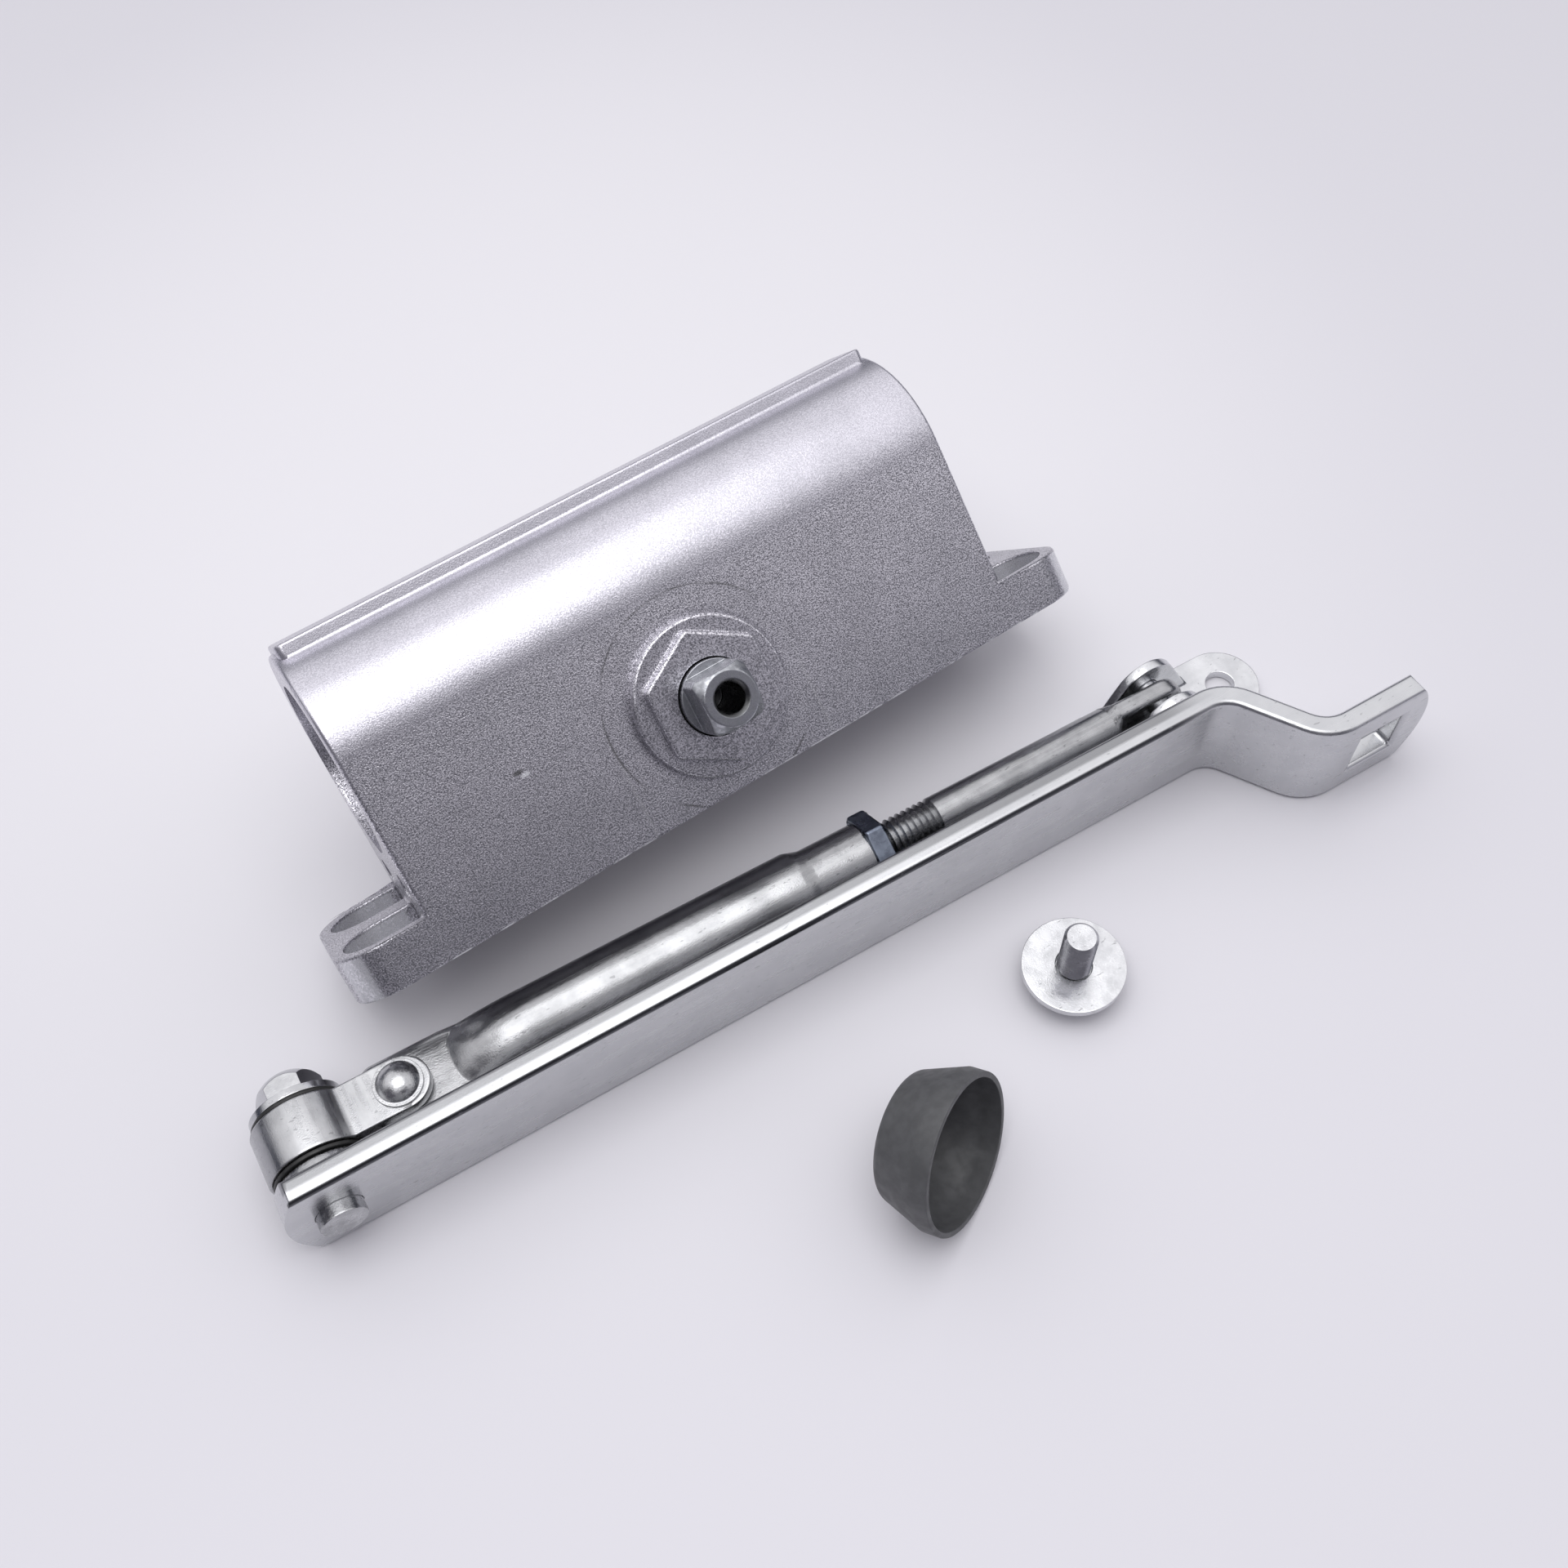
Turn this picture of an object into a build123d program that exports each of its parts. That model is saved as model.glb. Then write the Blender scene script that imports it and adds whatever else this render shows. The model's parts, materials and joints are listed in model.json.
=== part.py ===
from build123d import *
import math
import os

# A small rack-and-pinion door closer as it comes out of its box. The closer body leans on the table
# beside its folded arm, and the arm's screw, washer and the pinion cap lie in front.
# Millimetres. The table is Z = 0, X runs along the folded arm towards the frame bracket, and Y runs
# from the arm to the closer body. The origin is midway between the bracket's two screw holes.

# Housing, in the closer frame: X along the body, Y from the mounting face, Z along the pinion
BODY_LENGTH = 118.0
BODY_THICKNESS = 37.0
BODY_DEPTH = 56.7
PAD_RISE = 1.2
PAD_WIDTH = 14.0
PAD_END_MARGIN = 1.0
PAD_CORNER_R = 1.5
LUG_LENGTH = 15.8
LUG_THICKNESS = 8.5
LUG_CORNER_R = 8.0
SCREW_SPACING_LONG = 132.0
SCREW_SPACING_SHORT = 19.0
SCREW_HOLE_R = 3.25
RECESS_R = 6.5
RECESS_FLOOR = 2.5
END_EDGE_R = 0.8

# Cylinder bore, plugs and regulating valves
BORE_SETBACK = 34.0
BORE_R = 13.5
PLUG_LENGTH = 7.0
PLUG_INSET = 2.0
END_RECESS_R = 16.0
PLUG_SOCKET_AF = 10.0
PLUG_SOCKET_DEPTH = 4.0
SEAL_WIRE_R = 0.85
VALVE_SETBACK = 12.0
VALVE_SPACING = 18.0
VALVE_R = 3.0
VALVE_LENGTH = 16.0
VALVE_INSET = 0.8
VALVE_SLOT_WIDTH = 0.9
VALVE_SLOT_DEPTH = 1.2
VALVE_NEEDLE_LENGTH = 4.0
VALVE_SEAL_WIRE_R = 0.5
OIL_PASSAGE_R = 1.1
PORT_FROM_PLUG = 6.0

# Pinion and its bearings
PINION_SETBACK = 17.2
GEAR_MODULE = 1.25
GEAR_TEETH = 10
PRESSURE_ANGLE = 20.0
RACK_ADDENDUM = 0.7
ROOT_CLEARANCE = 0.3
TOOTH_PLAY = 0.24
SHAFT_R = 6.5
SQUARE_AF = 10.0
PINION_REACH = 11.8
SQUARE_LENGTH = 6.4
TIP_FACE_R = 4.7
TIP_CHAMFER_LENGTH = 1.6
ARM_THREAD_R = 2.5
ARM_THREAD_DEPTH = 12.0
THREAD_MOUTH_R = 3.2
CHAMBER_R = 8.2
CAP_SPIGOT_R = 10.5
CAP_SPIGOT_LENGTH = 5.4
CAP_DISC_R = 14.0
CAP_DISC_HEIGHT = 2.2
CAP_HEX_AF = 21.5
CAP_HEX_HEIGHT = 2.0
CAP_HEX_CORNER_R = 1.5
CAP_EDGE_R = 0.6
BUSH_R = 8.5
SEAT_LIP = 0.6

# Piston, return spring and the pinion's travel
PINION_TURN = 150.0
PISTON_HEAD = 9.0
PISTON_SPRING_END = 7.0
RACK_RUNOUT = 1.0
RING_WIDTH = 2.0
RING_DEPTH = 1.5
RING_SETBACK = 2.5
CHECK_BALL_R = 2.0
CHECK_SEAT_R = 1.2
CHECK_POCKET_DEPTH = 5.5
CHECK_RETAINER_THICKNESS = 1.0
CHECK_DRAIN_FROM_HEAD = 5.0
SPRING_WIRE_R = 1.5
SPRING_R = 10.6
SPRING_TURNS = 5

# Main arm, in the arm frame: X along the bar from the elbow pin, Y from the bar to the closer, Z up
BAR_WIDTH = 22.0
BAR_THICKNESS = 4.5
BAR_END = 8.5
BAR_STRAIGHT = 176.0
BAR_CRANK_LENGTH = 10.5
BAR_CRANK_OFFSET = 17.0
BAR_BEND_R = 8.0
BAR_SOCKET_X = 199.0
BAR_TIP = 210.0
BAR_END_SAGITTA = 3.5
BAR_EDGE_R = 1.1

# Elbow
PIN_R = 4.0
PIN_STUB = 2.3
COLLAR_R = 8.2
COLLAR_TOP_R = 7.6
COLLAR_THICKNESS = 2.55
BUSH_FLANGE = 0.7
BUSH_FLANGE_R = 8.0
STRAP_WIDTH = 9.6
STRAP_R = 8.5
STRAP_THICKNESS = 2.5
STRAP_TAIL_Z = 5.0
STRAP_REACH = 21.8
NUT_FLANGE_R = 7.8
NUT_FLANGE = 1.3
NUT_AF = 10.0
NUT_HEX = 3.2
NUT_DOME = 3.2
RIVET_X = 16.5
RIVET_R = 2.5
RIVET_HEAD_R = 3.6
RIVET_HEAD = 2.4
RIVET_RING_R = 4.2
RIVET_RING = 0.5

# Forearm, in the forearm frame: X from the elbow pin along the tube
FOREARM_REACH = 171.8
TUBE_R = 7.0
TUBE_WALL = 1.5
FLAT_START = 10.5
FLAT_WIDTH = 14.4
FLAT_CORNER_R = 3.0
FLAT_EDGE_R = 2.0
FLAT_TAPER_END = 34.0
FLAT_TAPER_WIDTH = 13.0
NOSE_START = 25.5
NOSE_START_HALF = 2.3
NOSE_RISE = 28.5
NOSE_RISE_HALF = 4.2
ROUND_START = 42.0
SWAGE_START = 92.0
NECK_START = 95.0
NECK_R = 6.1
NECK_END = 106.0
LOCK_NUT_AF = 13.0
LOCK_NUT_THICKNESS = 5.5
LOCK_NUT_CHAMFER = 0.7
ROD_R = 4.0
ROD_THREAD_PITCH = 1.25
ROD_THREAD_DEPTH = 0.6
ROD_INSIDE = 27.5
ROD_THREAD_SHOWN = 10.0
TONGUE_START = 161.5
TONGUE_BLEND = 1.5
TONGUE_THICKNESS = 3.8
TONGUE_R = 5.0
TONGUE_EDGE_R = 1.2

# Frame bracket, in the part's own frame
BRACKET_PIN_X = 4.2
BRACKET_PIN_HEIGHT = 8.0
BRACKET_PIN_R = 2.5
BRACKET_HEAD_R = 3.9
BRACKET_HEAD = 1.4
BRACKET_SPACING = 42.0
BRACKET_HOLE_R = 2.75
BRACKET_LOBE_R = 7.75
BRACKET_SHEET = 2.0
BRACKET_GAP = 6.8
EAR_LENGTH = 22.0
EAR_R = 6.6

# Loose fixings
SCREW_R = 3.0
SCREW_PITCH = 1.0
SCREW_THREAD_DEPTH = 0.5
SCREW_THREAD_LENGTH = 10.0
SCREW_HEAD_AF = 10.0
SCREW_HEAD = 4.0
WASHER_R = 9.2
WASHER_THICKNESS = 1.6
CAP_LENGTH = 11.5
CAP_WALL = 1.0
CAP_MOUTH = 3.0
CAP_END_R = 10.6
CAP_END_EDGE_R = 2.0

# Shares of a size: how far a rivet head's arc bulges, and how far round a corner may be filleted
HEAD_CROWN_SHARE = 0.25
CORNER_SHARE = 0.97

# Clearances
RUNNING_GAP = 0.05
SEATED_GAP = 0.02
SIDE_GAP = 0.1
THREAD_GAP = 0.1

# Where the groups lie on the table
CLOSER_X = -77.0
CLOSER_Y = 26.5
CLOSER_YAW = 4.2
SCREW_PLACE = (-40.8, -36.0)
CAP_PLACE = (-83.9, -47.8)
CAP_HEADING = -57.0

# The closer leans on the far edge of its mounting face and on the tip of its lower pinion end
HALF_THICKNESS = BODY_THICKNESS / 2
tip_lean = PINION_REACH / (PINION_SETBACK - TIP_FACE_R)
chamfer_lean = (PINION_REACH - TIP_CHAMFER_LENGTH) / (PINION_SETBACK - SHAFT_R)
CLOSER_TILT = math.degrees(math.atan(max(tip_lean, chamfer_lean)))
CLOSER_Z = HALF_THICKNESS * math.cos(math.radians(CLOSER_TILT))
CLOSER_STAND = Location((CLOSER_X, CLOSER_Y, CLOSER_Z), (0, 0, CLOSER_YAW))
CLOSER_LAID = CLOSER_STAND * Location((0, 0, 0), (CLOSER_TILT, 0, 0))

# The bar stands on its edge, and the forearm drops from the elbow until the bracket lies on the table
ELBOW_Z = BAR_WIDTH / 2
elbow_drop = ELBOW_Z - BRACKET_PIN_HEIGHT
ELBOW_X = BRACKET_PIN_X - math.sqrt(FOREARM_REACH**2 - elbow_drop**2)
FOREARM_DROP = math.degrees(math.asin(elbow_drop / FOREARM_REACH))
ARM_LAID = Location((ELBOW_X, 0, ELBOW_Z))
FOREARM_LAID = ARM_LAID * Location((0, 0, 0), (0, FOREARM_DROP, 0))
SCREW_LAID = Location((*SCREW_PLACE, 0))

# Gear sizes that follow from the module
PITCH_R = GEAR_MODULE * GEAR_TEETH / 2
TIP_R = PITCH_R + GEAR_MODULE
BASE_R = PITCH_R * math.cos(math.radians(PRESSURE_ANGLE))
ROOT_R = PITCH_R - RACK_ADDENDUM - ROOT_CLEARANCE
TOOTH_PITCH = math.pi * GEAR_MODULE
PISTON_TRAVEL = PITCH_R * math.radians(PINION_TURN)

# Stations along the bore: the piston rests towards the valve end, and the spring fills the other
END_X = BODY_LENGTH / 2
PLUG_FACE_X = END_X - PLUG_INSET
PLUG_INNER_X = PLUG_FACE_X - PLUG_LENGTH
RACK_RIGHT = TIP_R + RACK_RUNOUT
RACK_LEFT = -RACK_RIGHT - PISTON_TRAVEL
PISTON_LEFT = RACK_LEFT - PISTON_HEAD
PISTON_RIGHT = RACK_RIGHT + PISTON_SPRING_END
PISTON_R = BORE_R - RUNNING_GAP
RACK_TIP_Y = PINION_SETBACK + PITCH_R - RACK_ADDENDUM
RACK_ROOT_Y = PINION_SETBACK + TIP_R + ROOT_CLEARANCE

# Heights along the pinion, measured from the middle of the body
SPIGOT_Z = HALF_THICKNESS - CAP_SPIGOT_LENGTH
DISC_TOP_Z = HALF_THICKNESS + CAP_DISC_HEIGHT
HEX_TOP_Z = DISC_TOP_Z + CAP_HEX_HEIGHT
PINION_TOP_Z = HALF_THICKNESS + PINION_REACH
SHOULDER_Z = PINION_TOP_Z - SQUARE_LENGTH
GEAR_HALF_LENGTH = SPIGOT_Z - SIDE_GAP

os.makedirs("parts", exist_ok=True)


def ring_thread(start, length, radius, pitch, depth):
    """Points of a thread's side view, crest to root, as rings along the rod."""
    count = int(length / pitch)
    points = []
    for turn in range(count):
        points.append((start + turn * pitch, radius))
        points.append((start + (turn + 0.5) * pitch, radius - depth))
    points.append((start + count * pitch, radius))
    return points


# Housing: flat-sided body with a half-round front, on a plate whose ends are the lugs
front_centre_y = BODY_DEPTH - PAD_RISE - HALF_THICKNESS
valve_reach_x = VALVE_INSET + VALVE_LENGTH
lug_screws = [
    (side * SCREW_SPACING_LONG / 2, row * SCREW_SPACING_SHORT / 2) for side in (-1, 1) for row in (-1, 1)
]

with BuildPart() as housing:
    with BuildSketch(Plane.YZ):
        with BuildLine():
            Line((0, -HALF_THICKNESS), (front_centre_y, -HALF_THICKNESS))
            RadiusArc(
                (front_centre_y, -HALF_THICKNESS), (front_centre_y, HALF_THICKNESS), -HALF_THICKNESS
            )
            Line((front_centre_y, HALF_THICKNESS), (0, HALF_THICKNESS))
            Line((0, HALF_THICKNESS), (0, -HALF_THICKNESS))
        make_face()
    extrude(amount=END_X, both=True)
    end_edges = housing.faces().filter_by(Axis.X).edges()
    fillet(end_edges.filter_by(lambda edge: edge.center().Y > LUG_THICKNESS), END_EDGE_R)
    with BuildSketch(Plane.XZ):
        RectangleRounded(BODY_LENGTH + 2 * LUG_LENGTH, BODY_THICKNESS, LUG_CORNER_R)
    extrude(amount=-LUG_THICKNESS)
    with BuildSketch(Plane.XZ.offset(-BODY_DEPTH)):
        RectangleRounded(BODY_LENGTH - 2 * PAD_END_MARGIN, PAD_WIDTH, PAD_CORNER_R)
    extrude(amount=HALF_THICKNESS)
    with BuildSketch(Plane.XZ.offset(-LUG_THICKNESS)):
        for x, z in lug_screws:
            with Locations((x, z)):
                Circle(RECESS_R)
            run_in = abs(x) - END_X
            with Locations((math.copysign(END_X + run_in / 2, x), z)):
                Rectangle(run_in, 2 * RECESS_R)
    extrude(amount=LUG_THICKNESS - RECESS_FLOOR, mode=Mode.SUBTRACT)
    with BuildSketch(Plane.XZ):
        with Locations(*lug_screws):
            Circle(SCREW_HOLE_R)
    extrude(amount=-LUG_THICKNESS, mode=Mode.SUBTRACT)
    with BuildSketch(Plane.YZ):
        with Locations((BORE_SETBACK, 0)):
            Circle(BORE_R)
    extrude(amount=END_X, both=True, mode=Mode.SUBTRACT)
    for side in (-1, 1):
        with BuildSketch(Plane.YZ.offset(side * PLUG_FACE_X)):
            with Locations((BORE_SETBACK, 0)):
                Circle(END_RECESS_R)
        extrude(amount=side * PLUG_INSET, mode=Mode.SUBTRACT)
    with BuildSketch():
        with Locations((0, PINION_SETBACK)):
            Circle(CHAMBER_R)
    extrude(amount=HALF_THICKNESS, both=True, mode=Mode.SUBTRACT)
    for side in (-1, 1):
        with BuildSketch(Plane.XY.offset(side * SPIGOT_Z)):
            with Locations((0, PINION_SETBACK)):
                Circle(CAP_SPIGOT_R)
        extrude(amount=side * CAP_SPIGOT_LENGTH, mode=Mode.SUBTRACT)
    with BuildSketch(Plane.YZ.offset(-END_X)):
        with Locations((VALVE_SETBACK, -VALVE_SPACING / 2), (VALVE_SETBACK, VALVE_SPACING / 2)):
            Circle(VALVE_R + RUNNING_GAP)
    extrude(amount=valve_reach_x, mode=Mode.SUBTRACT)
    with BuildSketch(Plane.YZ.offset(-END_X)):
        with Locations((VALVE_SETBACK, -VALVE_SPACING / 2), (VALVE_SETBACK, VALVE_SPACING / 2)):
            Circle(OIL_PASSAGE_R)
    extrude(amount=END_X, mode=Mode.SUBTRACT)
    with BuildSketch(Plane.XZ.offset(-VALVE_SETBACK)):
        port_x = -PLUG_INNER_X + PORT_FROM_PLUG
        with Locations((port_x, -VALVE_SPACING / 2), (port_x, VALVE_SPACING / 2)):
            Circle(OIL_PASSAGE_R)
    extrude(amount=VALVE_SETBACK - BORE_SETBACK, mode=Mode.SUBTRACT)
housing.part.label = "housing"
export_step(housing.part.moved(CLOSER_LAID), "parts/housing.step")

# Bearing caps: a spigot in the housing, a round flange on the flat face and a hexagon for the spanner
seal_seat_r = SHAFT_R + 2 * SEAL_WIRE_R + 2 * SEATED_GAP
for name, side in (("upper", 1), ("lower", -1)):
    with BuildPart() as bearing_cap:
        with BuildSketch(Plane.XY.offset(side * SPIGOT_Z)):
            with Locations((0, PINION_SETBACK)):
                Circle(CAP_SPIGOT_R - SEATED_GAP)
        extrude(amount=side * CAP_SPIGOT_LENGTH)
        with BuildSketch(Plane.XY.offset(side * HALF_THICKNESS)):
            with Locations((0, PINION_SETBACK)):
                Circle(CAP_DISC_R)
        extrude(amount=side * CAP_DISC_HEIGHT)
        disc_top = bearing_cap.faces().sort_by(Axis.Z)[-1 if side > 0 else 0]
        fillet(disc_top.edges(), CAP_EDGE_R)
        with BuildSketch(Plane.XY.offset(side * DISC_TOP_Z)) as cap_hexagon:
            with Locations((0, PINION_SETBACK)):
                RegularPolygon(CAP_HEX_AF / 2, 6, major_radius=False, rotation=30)
            fillet(cap_hexagon.vertices(), CAP_HEX_CORNER_R)
        extrude(amount=side * CAP_HEX_HEIGHT)
        hex_top = bearing_cap.faces().sort_by(Axis.Z)[-1 if side > 0 else 0]
        fillet(hex_top.edges(), CAP_EDGE_R)
        with BuildSketch(Plane.XY):
            with Locations((0, PINION_SETBACK)):
                Circle(SHAFT_R + 2 * SIDE_GAP)
        extrude(amount=side * HEX_TOP_Z, mode=Mode.SUBTRACT)
        with BuildSketch(Plane.XY):
            with Locations((0, PINION_SETBACK)):
                Circle(seal_seat_r)
        extrude(amount=side * (HEX_TOP_Z - SEAT_LIP), mode=Mode.SUBTRACT)
        with BuildSketch(Plane.XY):
            with Locations((0, PINION_SETBACK)):
                Circle(BUSH_R)
        extrude(amount=side * HALF_THICKNESS, mode=Mode.SUBTRACT)
    bearing_cap.part.label = f"{name}_bearing_cap"
    export_step(bearing_cap.part.moved(CLOSER_LAID), f"parts/{name}_bearing_cap.step")

    with BuildPart() as bush:
        with BuildSketch(Plane.XY.offset(side * SPIGOT_Z)):
            with Locations((0, PINION_SETBACK)):
                Circle(BUSH_R - SEATED_GAP)
                Circle(SHAFT_R + RUNNING_GAP, mode=Mode.SUBTRACT)
        extrude(amount=side * CAP_SPIGOT_LENGTH)
    bush.part.label = f"{name}_bush"
    export_step(bush.part.moved(CLOSER_LAID), f"parts/{name}_bush.step")

    seal_z = side * (HEX_TOP_Z - SEAT_LIP - SEATED_GAP - SEAL_WIRE_R)
    with BuildPart() as shaft_seal:
        with BuildSketch(Plane.XZ.offset(-PINION_SETBACK)):
            with Locations((SHAFT_R + SEATED_GAP + SEAL_WIRE_R, seal_z)):
                Circle(SEAL_WIRE_R)
        revolve(axis=Axis((0, PINION_SETBACK, 0), (0, 0, 1)))
    shaft_seal.part.label = f"{name}_shaft_seal"
    export_step(shaft_seal.part.moved(CLOSER_LAID), f"parts/{name}_shaft_seal.step")


# Pinion: involute teeth on a shaft that ends in two squares, each with a threaded hole for the arm's screw
def involute(radius):
    angle = math.acos(min(1.0, BASE_R / radius))
    return math.tan(angle) - angle


def flank_point(radius, hand):
    half_width = (TOOTH_PITCH / 2 - TOOTH_PLAY / 2) / (2 * PITCH_R)
    angle = half_width + involute(PITCH_R) - involute(max(radius, BASE_R))
    return (hand * radius * math.sin(angle), radius * math.cos(angle))


tooth_foot_r = ROOT_R - GEAR_MODULE / 2
flank_radii = [tooth_foot_r, BASE_R, (BASE_R + PITCH_R) / 2, PITCH_R, (PITCH_R + TIP_R) / 2, TIP_R]
with BuildSketch() as tooth:
    with BuildLine():
        right_flank = [flank_point(radius, 1) for radius in flank_radii]
        left_flank = [flank_point(radius, -1) for radius in reversed(flank_radii)]
        Polyline(*right_flank, *left_flank, close=True)
    make_face()

with BuildPart() as pinion:
    with BuildSketch(Plane.XY.offset(-SHOULDER_Z)):
        with Locations((0, PINION_SETBACK)):
            Circle(SHAFT_R)
    extrude(amount=2 * SHOULDER_Z)
    with BuildSketch(Plane.XY.offset(-GEAR_HALF_LENGTH)):
        with Locations((0, PINION_SETBACK)):
            Circle(TIP_R)
    extrude(amount=2 * GEAR_HALF_LENGTH)
    with BuildSketch(Plane.XY.offset(-GEAR_HALF_LENGTH)):
        with Locations((0, PINION_SETBACK)):
            Circle(TIP_R + ROOT_CLEARANCE)
            Circle(ROOT_R, mode=Mode.SUBTRACT)
        with Locations((0, PINION_SETBACK)):
            with PolarLocations(0, GEAR_TEETH):
                add(tooth.sketch, mode=Mode.SUBTRACT)
    extrude(amount=2 * GEAR_HALF_LENGTH, mode=Mode.SUBTRACT)
    for side in (-1, 1):
        with BuildSketch(Plane.XY.offset(side * SHOULDER_Z)):
            with Locations((0, PINION_SETBACK)):
                Circle(SHAFT_R)
                Rectangle(SQUARE_AF, SQUARE_AF, mode=Mode.INTERSECT)
        extrude(amount=side * SQUARE_LENGTH)
    with BuildSketch(Plane.XZ.offset(-PINION_SETBACK)):
        with BuildLine():
            Polyline(
                (0, -PINION_TOP_Z),
                (TIP_FACE_R, -PINION_TOP_Z),
                (SHAFT_R, -PINION_TOP_Z + TIP_CHAMFER_LENGTH),
                (SHAFT_R, -GEAR_HALF_LENGTH),
                (TIP_R, -GEAR_HALF_LENGTH),
                (TIP_R, GEAR_HALF_LENGTH),
                (SHAFT_R, GEAR_HALF_LENGTH),
                (SHAFT_R, PINION_TOP_Z - TIP_CHAMFER_LENGTH),
                (TIP_FACE_R, PINION_TOP_Z),
                (0, PINION_TOP_Z),
                close=True,
            )
        make_face()
    revolve(axis=Axis((0, PINION_SETBACK, 0), (0, 0, 1)), mode=Mode.INTERSECT)
    for side in (-1, 1):
        with BuildSketch(Plane.XY.offset(side * PINION_TOP_Z)):
            with Locations((0, PINION_SETBACK)):
                Circle(ARM_THREAD_R)
        extrude(amount=-side * ARM_THREAD_DEPTH, mode=Mode.SUBTRACT)
    tip_faces = pinion.faces().filter_by(Axis.Z).filter_by(
        lambda face: abs(abs(face.center().Z) - PINION_TOP_Z) < SEATED_GAP
    )
    mouth_edges = tip_faces.edges().filter_by(GeomType.CIRCLE).filter_by(
        lambda edge: edge.radius < THREAD_MOUTH_R
    )
    chamfer(mouth_edges, THREAD_MOUTH_R - ARM_THREAD_R)
pinion.part.label = "pinion"
export_step(pinion.part.moved(CLOSER_LAID), "parts/pinion.step")

# Piston: a rack cut along its side between two full-round heads, with the one-way valve in one head
space_half_width = (TOOTH_PITCH + TOOTH_PLAY) / 4
slope = math.tan(math.radians(PRESSURE_ANGLE))
tip_half_width = space_half_width + RACK_ADDENDUM * slope
root_half_width = space_half_width - (RACK_ROOT_Y - RACK_TIP_Y - RACK_ADDENDUM) * slope
first_space = math.ceil((RACK_LEFT + tip_half_width) / TOOTH_PITCH)
last_space = math.floor((RACK_RIGHT - tip_half_width) / TOOTH_PITCH)
ring_left_x = PISTON_LEFT + RING_SETBACK
drain_x = RACK_LEFT + CHECK_DRAIN_FROM_HEAD
pocket_end_x = PISTON_LEFT + CHECK_POCKET_DEPTH

with BuildPart() as piston:
    with BuildSketch(Plane.YZ.offset(PISTON_LEFT)):
        with Locations((BORE_SETBACK, 0)):
            Circle(PISTON_R)
    extrude(amount=PISTON_RIGHT - PISTON_LEFT)
    with BuildSketch(Plane.XY.offset(-BORE_R)):
        with BuildLine():
            outline = [(RACK_LEFT, 0), (RACK_LEFT, RACK_TIP_Y)]
            for space in range(first_space, last_space + 1):
                centre = space * TOOTH_PITCH
                outline.append((centre - tip_half_width, RACK_TIP_Y))
                outline.append((centre - root_half_width, RACK_ROOT_Y))
                outline.append((centre + root_half_width, RACK_ROOT_Y))
                outline.append((centre + tip_half_width, RACK_TIP_Y))
            outline += [(RACK_RIGHT, RACK_TIP_Y), (RACK_RIGHT, 0)]
            Polyline(*outline, close=True)
        make_face()
    extrude(amount=2 * BORE_R, mode=Mode.SUBTRACT)
    with BuildSketch(Plane.YZ.offset(ring_left_x)):
        with Locations((BORE_SETBACK, 0)):
            Circle(BORE_R)
            Circle(PISTON_R - RING_DEPTH, mode=Mode.SUBTRACT)
    extrude(amount=RING_WIDTH, mode=Mode.SUBTRACT)
    with BuildSketch(Plane.YZ.offset(PISTON_LEFT)):
        with Locations((BORE_SETBACK, 0)):
            Circle(CHECK_BALL_R + RUNNING_GAP)
    extrude(amount=CHECK_POCKET_DEPTH, mode=Mode.SUBTRACT)
    with BuildSketch(Plane.YZ.offset(PISTON_LEFT)):
        with Locations((BORE_SETBACK, 0)):
            Circle(CHECK_SEAT_R)
    extrude(amount=drain_x - PISTON_LEFT, mode=Mode.SUBTRACT)
    with BuildSketch(Plane.XZ.offset(-BORE_SETBACK)):
        with Locations((drain_x, 0)):
            Circle(CHECK_SEAT_R)
    extrude(amount=BORE_R, mode=Mode.SUBTRACT)
piston.part.label = "piston"
export_step(piston.part.moved(CLOSER_LAID), "parts/piston.step")

with BuildPart() as piston_ring:
    with BuildSketch(Plane.YZ.offset(ring_left_x + SEATED_GAP)):
        with Locations((BORE_SETBACK, 0)):
            Circle(BORE_R - SEATED_GAP)
            Circle(PISTON_R - RING_DEPTH + SEATED_GAP, mode=Mode.SUBTRACT)
    extrude(amount=RING_WIDTH - 2 * SEATED_GAP)
piston_ring.part.label = "piston_ring"
export_step(piston_ring.part.moved(CLOSER_LAID), "parts/piston_ring.step")

# The ball rests on the rim where its pocket narrows to the oil passage
ball_stand = math.sqrt(CHECK_BALL_R**2 - CHECK_SEAT_R**2)
with BuildPart() as check_ball:
    with BuildSketch(Plane.XY):
        with Locations((pocket_end_x - ball_stand - SEATED_GAP, BORE_SETBACK)):
            Circle(CHECK_BALL_R)
            Rectangle(2 * CHECK_BALL_R, CHECK_BALL_R, align=(Align.CENTER, Align.MIN), mode=Mode.INTERSECT)
    revolve(axis=Axis((0, BORE_SETBACK, 0), (1, 0, 0)))
check_ball.part.label = "check_ball"
export_step(check_ball.part.moved(CLOSER_LAID), "parts/check_ball.step")

with BuildPart() as check_ball_retainer:
    with BuildSketch(Plane.YZ.offset(PISTON_LEFT)):
        with Locations((BORE_SETBACK, 0)):
            Circle(CHECK_BALL_R + RUNNING_GAP - SEATED_GAP)
            Circle(CHECK_SEAT_R, mode=Mode.SUBTRACT)
    extrude(amount=CHECK_RETAINER_THICKNESS)
check_ball_retainer.part.label = "check_ball_retainer"
export_step(check_ball_retainer.part.moved(CLOSER_LAID), "parts/check_ball_retainer.step")

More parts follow.
